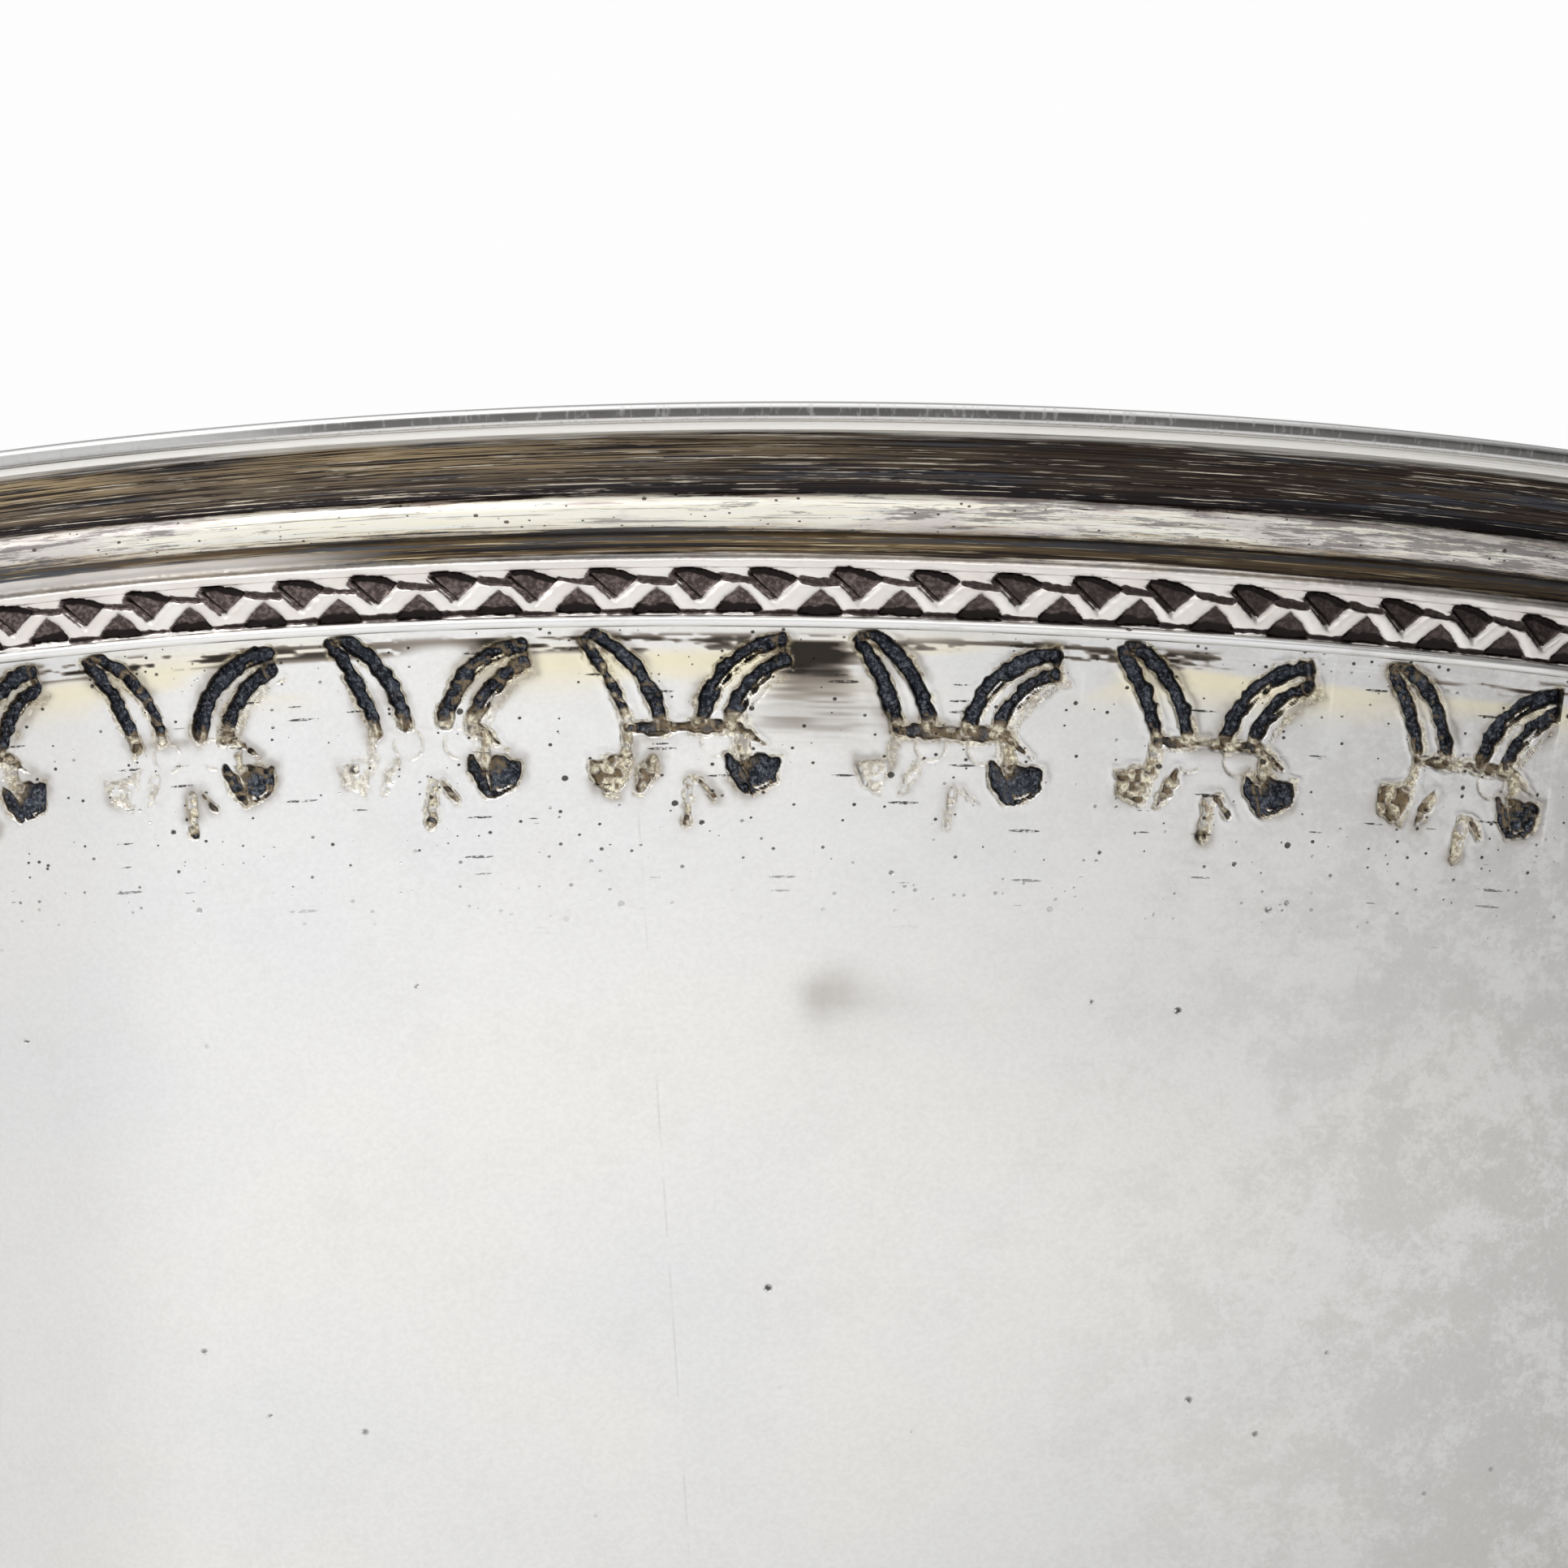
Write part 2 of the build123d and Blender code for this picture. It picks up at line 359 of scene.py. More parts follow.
def make_zigzag_strip():
    """The strip under the torus: groove, plain edge and the field of struck triangles."""
    theta = front_columns(PUNCHES, *PUNCH_COLUMNS)
    section = arc((TORUS_SEAT, TORUS_DROP), (GROOVE_REACH, (TORUS_DROP + GROOVE_DROP) / 2),
                  (STRIP_REACH, GROOVE_DROP), 10)
    section += [(STRIP_REACH + 0.02, drop) for drop in (8.25, 8.4, 8.48, 8.55)]
    section += [(ZIGZAG_REACH, drop) for drop in np.arange(8.62, 11.37, 0.075)]
    section += [(ZIGZAG_REACH, ZIGZAG_DROP), (0.0, ZIGZAG_DROP), (0.0, TORUS_DROP)]
    loops, dark, across = [], [], []
    for out, drop in section:
        level = np.full_like(theta, drop)
        depth, shade = zigzag_relief(theta, level)
        if out < 0.05 or drop < 8.3:
            depth, shade = 0 * depth, 0 * shade
        grain = 0.02 * uneven(theta, level, 0.35, 0.3, 21)
        wave = 0.03 * uneven(theta, level, 5, 2, 22)
        worn = out - depth + (grain + wave - 0.02) * (out > 0.05)
        loops.append(loop_at(*on_slope(worn, level - drift(theta, level)), theta))
        dark.append(shade)
        across.append(level)
    return loops_mesh("zigzag_strip", loops, {"dark": dark, "drop": across}, closed=True, crease=50)


# ---- Relief of the frieze: one die struck again and again, never quite alike ----
HORNS = [
    # side, arc through three points (mm from the middle of the pearls), half width, depth
    ("outer", (-6.15, 6.0), (-4.65, 3.6), (-3.5, 0.7), 0.46, 0.44),
    ("left", (-5.5, 6.35), (-3.2, 4.5), (-1.75, 1.1), 0.47, 0.44),
    ("right", (0.7, 1.2), (2.35, 4.3), (5.55, 5.85), 0.52, 0.50),
    ("right", (2.35, 0.9), (3.55, 3.2), (5.65, 4.75), 0.49, 0.50),
]
STROKES = [
    # plain straight strokes: start, end, half width, depth, part of the die, shade, crumble
    ((-5.85, 6.3), (-5.35, 6.85), 0.4, 0.3, "outer", 0.9, 0.2),
    ((5.6, 5.85), (5.7, 4.75), 0.36, 0.36, "right", 1.0, 0.0),
    ((-3.6, 0.8), (-3.9, -0.9), 0.36, 0.2, "lump", 0.3, 1.0),
    ((3.2, 0.5), (3.1, -0.9), 0.36, 0.2, "petal", 0.3, 1.0),
    ((0.45, -2.4), (1.3, -3.4), 0.26, 0.2, "stem", 0.7, 0.6),
]
PRESS_KEYS = ("outer", "left", "right", "bar", "lump", "petal", "stem")
FRONT_PRESS = {
    # how hard each part of the die bit, for the strikes at the front
    -4: (1.0, 1.0, 0.9, 0.5, 0.4, 0.9, 0.5),
    -3: (0.9, 0.6, 0.95, 0.15, 0.3, 0.65, 0.55),
    -2: (1.0, 0.85, 0.7, 0.1, 0.3, 0.8, 0.55),
    -1: (0.5, 0.75, 0.95, 0.75, 0.75, 0.95, 0.45),
    0: (1.0, 1.0, 0.9, 0.8, 0.3, 0.95, 0.3),
    1: (1.0, 1.0, 0.95, 0.5, 0.7, 1.0, 0.7),
    2: (0.7, 0.7, 1.0, 0.45, 0.6, 0.8, 0.6),
    3: (0.9, 0.9, 0.8, 0.4, 0.4, 0.8, 0.5),
}


def strike_values():
    """Slip, rise, tilt and press of each strike round the plate, indexed by strike number."""
    rng = np.random.default_rng(48)
    slip = rng.normal(0, 0.3, STRIKES)
    rise = rng.normal(0, 0.12, STRIKES)
    tilt = rng.normal(0, 0.02, STRIKES)
    press = {key: rng.uniform(0.35, 1.0, STRIKES) for key in PRESS_KEYS}
    press["bar"] *= 0.8
    press["lump"] *= 0.7
    for index, values in FRONT_PRESS.items():
        for key, value in zip(PRESS_KEYS, values):
            press[key][index] = value
        slip[index] = 2.2 * hump(index - 2.3, 1.2)
    slip[0] += 0.35
    return slip, rise, tilt, press


class Die:
    """The struck border at given places: how deep and how dark it is, and what lies in it."""

    def __init__(self, theta, drop):
        slip, rise, tilt, press = strike_values()
        phase = theta * STRIKES / TAU - FRIEZE_TURN
        strike = np.round(phase).astype(int)
        raw_u = (phase - strike) * TAU * (TOP_R - drop * SIN) / STRIKES
        raw_v = BOSS_DROP - drop
        self.bite = {key: press[key][strike] for key in PRESS_KEYS}
        self.u = raw_u - slip[strike] - tilt[strike] * raw_v
        self.v = raw_v - rise[strike] + tilt[strike] * raw_u
        self.ragged = 0.24 * uneven(theta, drop, 0.4, 0.38, 31) + 0.15 * uneven(theta, drop, 1.1, 1.0, 32)
        self.crumbs = noise(theta, drop, 0.34, 0.3, 33)
        self.glints = smooth(noise(theta, drop, 1.3, 1.1, 35), 0.42, 0.58)
        self.broken = smooth(noise(theta, drop, 0.8, 0.7, 34), 0.25, 0.6)
        self.depth, self.dark, self.cream, self.bare = [np.zeros_like(self.u) for _ in range(4)]
        self.nearest = np.full_like(self.u, 9.0)

    def sink(self, gap, deep, force, shade, crumble):
        """Sink a stroke whose edge is at gap 0, and colour its floor and its rim."""
        gap = gap + self.ragged + 0.3 * (1 - force) ** 2
        bitten = smooth(force, 0.05, 0.5)
        crumble = np.maximum(crumble, 1.3 * (1 - force))
        inside = smooth(-gap, -0.02, 0.12) * bitten
        sunk = smooth(-gap, -0.04, 0.2) * deep * (0.3 + 0.7 * force) * bitten
        spots = smooth(self.crumbs + 0.35 * (crumble - 1), 0.3, 0.55) * np.clip(crumble * 1.5, 0, 1)
        rim = 0.8 * hump(gap - 0.06, 0.1) * self.broken * bitten
        self.depth = np.maximum(self.depth, sunk)
        self.dark = np.maximum(self.dark, inside * np.clip(shade, 0, 1) * smooth(force, 0.1, 0.6))
        self.cream = np.maximum(self.cream, np.maximum(inside * spots, rim))
        self.nearest = np.minimum(self.nearest, gap + 0.4 * (1 - bitten))

    def strike_horns(self):
        """Two curved strokes on each side, with glints on the right pair."""
        u, v, bite = self.u, self.v, self.bite
        foot = smooth(v + 1.5 * self.ragged, 0.9, 2.1)
        for side, a, b, c, half, deep in HORNS:
            gap, share = bend(u, v, a, b, c)
            self.sink(gap - half, deep, bite[side] * (0.6 + 0.4 * foot), 0.6 + 0.4 * foot, 0.9 * (1 - foot))
            if side == "right":
                glint_gap, _ = bend(u - 0.2, v + 0.2, a, b, c)
                reach = smooth(share, 0.2, 0.35) * smooth(-share, -0.9, -0.75)
                self.bare = np.maximum(self.bare, smooth(0.14 - glint_gap, 0.0, 0.07) * self.glints * reach)
        echo_gap, _ = bend(u - 0.75, v + 0.55, *HORNS[-1][1:4])
        self.sink(echo_gap - 0.2, 0.1, 0.4 * bite["right"], 0.35, 0.2)

    def strike_bar(self):
        """Scalloped bar over the pearls, with a spur, and all the plain strokes."""
        u, v, bite = self.u, self.v, self.bite
        gap, along = straight(u, v, (-3.7, 0.8), (2.9, 0.85))
        scallop = 0.07 * np.cos(TAU * along * 2.1)
        self.sink(gap - 0.42 + scallop, 0.24, bite["bar"], 0.5 + 0.4 * np.abs(2 * along - 1), 0.4)
        for start, end, half, deep, part, shade, crumble in STROKES:
            gap, _ = straight(u, v, start, end)
            self.sink(gap - half, deep, bite[part], shade, crumble)
        gap, along = straight(u, v, (2.8, 0.8), (4.4, -0.3))
        self.sink(gap - 0.42 * (1 - 0.9 * along), 0.22, bite["petal"], 0.7, 0.5)

    def strike_petal(self, part, side, root, black, crumble):
        """A fan with a leaf beside it, side 1 on the right and -1 on the left."""
        u, v, force = side * self.u, self.v, self.bite[part]
        spread = np.hypot(v + 0.6, u - root)
        swing = (np.arctan2(v + 0.6, u - root) - math.radians(-39)) / math.radians(30)
        fan = np.maximum(spread - 3.15 + 0.35 * np.abs(swing), (np.abs(swing) - 1) * spread * 0.45)
        fold = 0.5 + 0.5 * np.clip(swing * 0.8 + 0.5, 0, 1)
        patchy = 1.0
        if side > 0:
            patchy = smooth(spread, 0.6, 2.4)
            edge = smooth(0.13 - np.abs(fan + 0.3), 0.0, 0.07) * smooth(-swing, -0.1, 0.2)
            edge = edge * smooth(spread, 2.2, 2.7) * smooth(self.crumbs, 0.2, 0.4)
            self.bare = np.maximum(self.bare, edge)
        shade = black * (0.45 + 0.55 * patchy)
        self.sink(fan, 0.44 * fold * smooth(spread, 0.1, 1.4), force, shade, crumble)
        gap, along = straight(u, v, (2.2, -0.95), (3.2, -3.0))
        leaf = gap - 0.5 * (0.45 + 0.55 * np.sin(math.pi * along))
        self.sink(leaf, 0.3, force, 0.85 * black, crumble)

    def strike_stem(self):
        """Short stem under the pearls, dark at its foot."""
        gap, along = straight(self.u, self.v, (-0.1, -2.5), (-0.35, -4.7))
        self.sink(gap - 0.38, 0.2, self.bite["stem"], 0.25 + 0.75 * smooth(along, 0.75, 1.0), 1.0)

    def raise_pearls(self):
        """Height of the two pearls in mm, each with a broken cream line round it."""
        height = 0
        for side in (-1, 1):
            pearl = np.hypot(self.u - side * 1.55, self.v + 0.02)
            height = height + 0.12 * smooth(0.85 - pearl, 0.0, 0.6) * np.maximum(self.bite["bar"], 0.35)
            rim = hump(pearl - 0.9, 0.09) * self.broken
            self.depth = np.maximum(self.depth, 0.05 * rim)
            self.cream = np.maximum(self.cream, 0.5 * rim)
        return height


def frieze_relief(theta, drop):
    """Height of the struck wall in mm, and masks for dark, for cream and for a soft painted shadow round
    the strokes.
    """
    die = Die(theta, drop)
    die.strike_horns()
    die.strike_bar()
    die.strike_petal("petal", 1, 2.5, 1.0, 0.1)
    die.strike_petal("lump", -1, 3.3, 0.5, 0.95)
    die.strike_stem()
    raised = 0.07 * hump(die.nearest - 0.16, 0.2) + die.raise_pearls()
    outside = np.maximum(die.nearest, 0)
    # painted shadow: a soft, patchy brownish shade just outside the strokes
    stroke_shadow = hump(outside, 0.6) * (1 - smooth(-die.nearest, 0.0, 0.1))
    stroke_shadow = 0.32 * stroke_shadow * smooth(noise(theta, drop, 3, 2, 36), 0.25, 0.75)
    grain = 0.11 * (die.crumbs - 0.5) * smooth(die.depth, 0.05, 0.2)
    height = raised - die.depth * (1 - 0.5 * die.bare) - 0.06 * hump(outside, 1.3) + grain
    return height, die.dark * (1 - 0.8 * die.cream) * (1 - die.bare), die.cream * (1 - die.bare), stroke_shadow


def rim_smudge(theta, drop):
    """Dark streaks just under the fillet, from 0 to 1."""
    streak = noise(theta, drop, 3.2, 0.22, 42) + 0.4 * uneven(theta, drop, 0.6, 0.15, 49)
    smudge = smooth(streak, 0.42, 0.60) * smooth(noise(theta, drop, 7, 3, 43), 0.3, 0.55)
    return smudge * hump(drop - 13.1, 0.55, 4)


def painted_camera_reflection(theta, drop, across):
    """Painted dark reflection of the camera between two strikes at the front, thinning to brown lines
    below.
    """
    fringe = 1.2 * uneven(theta, drop, 2.5, 0.2, 50)
    half = 1.95 + 1.7 * smooth(drop, 14.0, 17.5)
    shadow = hump(across - 1.95 + 0.04 * (drop - 13) + fringe, half, 4) * smooth(drop, 12.8, 13.05)
    lines = smooth(noise(theta, drop, 3.0, 0.14, 44) + 0.3 * noise(theta, drop, 12, 0.6, 45), 0.35, 0.9)
    upper, lower = 1 - smooth(drop, 13.9, 16.4), 1 - smooth(drop, 17.4, 19.8)
    return shadow * (upper * (0.9 + 0.2 * lines) + (1 - upper) * lower * (0.20 + 0.18 * lines))


def painted_dent_reflection(theta, drop, across):
    """Painted dark reflection over the dent below the border, trailing off to the right."""
    stray = 1.2 * uneven(theta, drop, 4, 2.6, 51) + 0.7 * uneven(theta, drop, 1.7, 1.1, 52)
    below = drop - DENT_DROP
    core = 0.25 * hump(across - 2.6 + stray, 1.7) * hump(below + 0.5 * stray, 2.0)
    tail = smooth(across, 1.0, 3.5) * np.exp(-np.maximum(across - 3.0, 0) / 3.8)
    return np.maximum(core, 0.26 * tail * hump(below - 0.1 * (across - 3) + stray, 2.0))


def wall_skin(theta, drop):
    """Height of the wall's outer skin in mm, and its dark, cream, stain-and-painted-shade and gilt masks.
    """
    fade = smooth(drop, FRIEZE_TOP - 0.2, FRIEZE_TOP + 0.1)
    fade = fade * smooth(-drop, -FRIEZE_BOTTOM + 0.05, -FRIEZE_BOTTOM + 0.5)
    height, dark, cream, stroke_shadow = [layer * fade for layer in frieze_relief(theta, drop)]
    ledge = 12.85 + 0.3 * uneven(theta, 0 * theta, 6, 1, 41)
    height = height + 0.1 * smooth(ledge - drop, -0.08, 0.08)
    across = theta * (TOP_R - drop * SIN)
    # The stain mask holds real smudges under the fillet together with painted shade: the camera's dark
    # reflection at the front, a dark reflection over the dent and the shadow round the strokes.
    stain_and_shade = 0.9 * rim_smudge(theta, drop) + painted_camera_reflection(theta, drop, across)
    stain_and_shade = np.clip(stain_and_shade + painted_dent_reflection(theta, drop, across) + stroke_shadow, 0, 1)
    gilt = smooth(noise(theta, drop, 8, 1.6, 46), 0.4, 0.7) * hump(drop - 14.2, 1.5)
    hammer = 0.05 * uneven(theta, drop, 14, 9, 47) + 0.02 * uneven(theta, drop, 5, 4, 48)
    dent = 0.10 * hump(across - 5.0, 4.0) * hump(drop - DENT_DROP, 1.8)
    return height + hammer - dent - 0.08, dark, cream, stain_and_shade, gilt


def make_wall_shell():
    """The tapered wall, with fine rows where it is struck and plain rows elsewhere."""
    fine = front_columns(STRIKES, *STRIKE_COLUMNS)
    coarse = fine[::PLAIN_SHARE]
    loops = []
    masks = {key: [] for key in ("dark", "cream", "stain_and_shade", "gilt")}

    def outer_row(theta, drop):
        level = np.full_like(theta, drop)
        height, *shades = wall_skin(theta, level)
        if drop < FRIEZE_TOP - 0.5:
            height = 0 * height - 0.05
        loops.append(loop_at(*on_slope(height, level - drift(theta, level) * (drop > 5)), theta))
        for key, shade in zip(masks, shades):
            masks[key].append(shade)

    def inner_row(drop):
        level = np.full_like(coarse, drop)
        pushed = 0.3 * np.minimum(frieze_relief(coarse, level)[0], 0)
        pushed = pushed * smooth(drop, 12, 13) * smooth(-drop, -25.5, -25)
        loops.append(loop_at(*on_slope(-SHEET + pushed + 0.03, level), coarse))
        for rows in masks.values():
            rows.append(0 * coarse)

    outer_row(coarse, 0.0)
    outer_row(coarse, 11.6)
    for drop in np.linspace(11.75, FRIEZE_BOTTOM, 128):
        outer_row(fine, drop)
    for drop in np.linspace(FRIEZE_BOTTOM + 0.5, JOINT_DROP, 60):
        outer_row(coarse, drop)
    for start, end, rows in ((JOINT_DROP, 27, 20), (26, 12, 32), (10, 0, 6)):
        for drop in np.linspace(start, end, rows):
            inner_row(drop)
    return loops_mesh("wall_shell", loops, masks, closed=True, crease=60)


# ---- Plain rings and the base ----
def lip_section():
    """Rounded bar round the top edge, closed."""
    r = LIP_ROUND
    low, high = -SHEET, LIP_REACH
    k = r * (1 - math.sqrt(0.5))
    points = arc((high - r, 0), (high - k, -k), (high, -r), 8)
    points += arc((high, -LIP_RISE + r), (high - k, -LIP_RISE + k), (high - r, -LIP_RISE), 8)
    points += [(high - 1.5, -LIP_RISE), (low + 1.5, -LIP_RISE)]
    points += arc((low + r, -LIP_RISE), (low + k, -LIP_RISE + k), (low, -LIP_RISE + r), 6)
    points += arc((low, -r), (low + k, -k), (low + r, 0), 6)
    return points[::-1]


def cove_section():
    """Hollow moulding, closed."""
    hollow = arc((COVE_TOP, COVE_SHOULDER), (COVE_MIDDLE, (COVE_SHOULDER + COVE_DROP) / 2),
                 (COVE_FOOT, COVE_DROP), 22)
    edge = [(COVE_TOP - 0.1, 0.0), (COVE_TOP, 0.08), (COVE_TOP + 0.03, 0.25)]
    return edge + hollow + [(0.0, COVE_DROP), (0.0, 0.0)]


def torus_section():
    """Rounded moulding, closed."""
    round_face = arc((COVE_FOOT, COVE_DROP), (TORUS_REACH, (COVE_DROP + TORUS_DROP) / 2),
                     (TORUS_SEAT, TORUS_DROP), 20)
    return round_face + [(0.0, TORUS_DROP), (0.0, COVE_DROP)]


def fillet_section():
    """Round-nosed wire, closed."""
    half = (FILLET_DROP - ZIGZAG_DROP) / 2
    shoulder = FILLET_REACH - half
    nose = arc((shoulder, ZIGZAG_DROP), (FILLET_REACH, ZIGZAG_DROP + half), (shoulder, FILLET_DROP), 12)
    return nose + [(0.0, FILLET_DROP), (0.0, ZIGZAG_DROP)]


def seam_section():
    """Half-round wire over the joint of wall and base."""
    return arc((0.0, JOINT_DROP - SEAM_ROUND), (SEAM_ROUND, JOINT_DROP), (0.0, JOINT_DROP + SEAM_ROUND), 14)


def foot_collar_section():
    """Spun collar between the base pan and the foot wire, in (radius, height)."""
    reach, _, foot = round_size("foot_wire")
    _, top, _ = round_size("base_pan")
    toe, under = reach - FOOT_WIDTH, top - SHEET
    flare = arc((toe + SHEET, foot), (COLLAR_WAIST, (foot + top) / 2), (COLLAR_TOP, top), 14)
    return flare + [(FLANGE_IN, top), (FLANGE_IN, under), (COLLAR_TOP - SHEET, under), (toe, foot)]


def foot_ring_section():
    """Foot wire with rounded outer corners, in (radius, height)."""
    reach, _, top = round_size("foot_wire")
    nose, toe = reach - FOOT_ROUND, reach - FOOT_WIDTH
    points = arc((nose, 0.0), (nose + 0.85, 0.35), (reach, FOOT_ROUND), 6)
    points += arc((reach, top - FOOT_ROUND), (nose + 0.85, top - 0.35), (nose, top), 6)
    return points + [(toe, top), (toe, 0.0)]


def make_base_shell():
    """Spun base pan with its rounded corner, as one closed skin."""
    _, low, _ = round_size("base_pan")
    high = low + SHEET
    corner = on_slope(0, (TOP_Z - low) / COS)[0]
    tangent = CORNER_ROUND * math.tan((math.pi / 2 - LEAN) / 2)
    bottom_end = corner - tangent
    side_end = (corner + tangent * SIN, low + tangent * COS)
    middle = (corner - 0.27 * tangent, low + 0.245 * tangent)
    shift = SHEET * 0.94
    flat = np.linspace(2, bottom_end - 2, 24)
    outer = [(r, low) for r in flat] + arc((bottom_end, low), middle, side_end, 10)
    inner = [(r, high) for r in flat]
    inner += arc((bottom_end, high), (middle[0] - shift * 0.6, middle[1] + shift * 0.75),
                 (side_end[0] - shift, side_end[1] + shift * 0.35), 10)
    section = outer + [on_slope(0, JOINT_DROP), on_slope(-SHEET, JOINT_DROP)] + inner[::-1]
    theta = angles_round(DISC_COLUMNS)
    loops = []
    for radius, height in section:
        dish = 0.04 * uneven(theta, 0 * theta + radius / 9, 20, 1, 61)
        loops.append(loop_at(radius, height + dish, theta))
    return loops_mesh("base_shell", loops, {}, closed=False)


# ---- Felt and board ----
def make_felt_pad():
    """Thick felt disc, slightly crowned and fuzzy, pinched in along a stitched edge."""
    radius, bottom, top = round_size("pad_felt")
    theta = angles_round(DISC_COLUMNS)
    loops = [loop_at(radius - 2.0, bottom, theta), loop_at(radius - 0.4, bottom + 0.1, theta)]
    for turn in np.linspace(-60, 80, 9):
        a = math.radians(turn)
        loops.append(loop_at(radius - 1.6 + 1.45 * math.cos(a), bottom + 1.75 + 1.7 * math.sin(a), theta))
    for r in np.concatenate([radius - np.linspace(1.6, 6, 14), np.linspace(radius - 6.6, 0.8, 92)]):
        if r < 24:
            theta = angles_round(DISC_COLUMNS // 4)
        crown = 0.4 * (1 - (r / radius) ** 4)
        stitch = 0.55 * hump(radius - r - STITCH_IN, 0.8) * (0.8 + 0.2 * np.cos(theta * STITCHES))
        nap = 0.10 * flat_noise(r, theta, 2.4, 71) + 0.22 * flat_noise(r, theta, 14, 72)
        loops.append(loop_at(r, top - 0.55 + crown - stitch + nap, theta))
    return loops_mesh("felt_pad", loops, {}, closed=False, crease=80)


def make_stitches():
    """Running stitch of thick thread round the felt's edge, each stitch a bowed tube."""
    radius, _, top = round_size("pad_felt")
    around, length, thread = 10, 9, 0.33
    share = np.linspace(0, 1, length)[:, None]
    bow = np.sin(math.pi * share)
    size = thread * (0.35 + 0.65 * bow ** 0.5)
    a = angles_round(around)
    half = 0.3 * TAU / STITCHES
    angle = angles_round(STITCHES)[:, None, None] + half * (2 * share - 1)
    height = top - 1.07 + 0.45 * bow + size * np.sin(a)
    points = loop_at(radius - STITCH_IN + size * np.cos(a), height, angle + 0 * a)
    starts = around * np.arange(STITCHES * length).reshape(STITCHES, length)
    here = np.arange(around)
    after = (here + 1) % around
    low = starts[:, :-1].reshape(-1, 1)
    sides = np.stack([low + here, low + after, low + around + after, low + around + here], -1)
    caps = np.concatenate([starts[:, :1] + here[::-1], starts[:, -1:] + here])
    return add_mesh("pad_stitches", points.reshape(-1, 3), [sides.reshape(-1, 4), caps], {}, 60)


def make_disc(name, node, rows, seed, fuzz):
    """A flat disc in a node's place with slightly uneven faces and soft edges."""
    radius, bottom, top = round_size(node)
    soft = min(0.35, (top - bottom) / 3)
    theta = angles_round(DISC_COLUMNS)
    inner = np.linspace(1, radius - soft, rows)
    section = [(r, bottom) for r in inner] + [(radius, bottom + soft), (radius, top - soft)]
    section += [(r, top) for r in inner[::-1]]
    loops = []
    for r, z in section:
        inward = -fuzz / 2 if z > (top + bottom) / 2 else fuzz / 2
        loops.append(loop_at(r, z + inward + fuzz * flat_noise(r, theta, 3.0, seed), theta))
    return loops_mesh(name, loops, {}, closed=False, crease=60)


# ---- Node materials ----
class Nodes:
    """A node tree, with short calls for its nodes."""

    def __init__(self, tree, coordinates):
        self.nodes, self.links = tree.nodes, tree.links
        self.place = self.node("TexCoord").outputs[coordinates]

    def node(self, kind, **inputs):
        """A new node of a kind, with its inputs fed by name."""
        made = self.nodes.new("ShaderNode" + kind)
        for name, value in inputs.items():
            self.feed(made.inputs[name.replace("_", " ")], value)
        return made

    def feed(self, socket, value):
        """Link an output to a socket, or set a plain value."""
        if isinstance(value, bpy.types.NodeSocket):
            self.links.new(value, socket)
        else:
            socket.default_value = value

    def axis(self, name):
        """One coordinate, in metres where the place is in object space."""
        return self.node("SeparateXYZ", Vector=self.place).outputs[name]

    def ramp(self, value, low, high):
        """0 below low, 1 above high, eased between."""
        made = self.node("MapRange", Value=value, From_Min=low, From_Max=high)
        made.interpolation_type = "SMOOTHSTEP"
        return made.outputs["Result"]

    def between(self, value, low, high):
        """value from 0..1 stretched to run from low to high."""
        return self.node("MapRange", Value=value, To_Min=low, To_Max=high).outputs["Result"]

    def math(self, kind, first, second=0.0):
        """Result of one sum."""
        made = self.node("Math")
        made.operation = kind
        self.feed(made.inputs[0], first)
        self.feed(made.inputs[1], second)
        return made.outputs["Value"]

    def times(self, first, second):
        """Product of two values."""
        return self.math("MULTIPLY", first, second)

    def plus(self, first, second):
        """Sum of two values."""
        return self.math("ADD", first, second)

    def most(self, first, second):
        """The larger of two values."""
        return self.math("MAXIMUM", first, second)


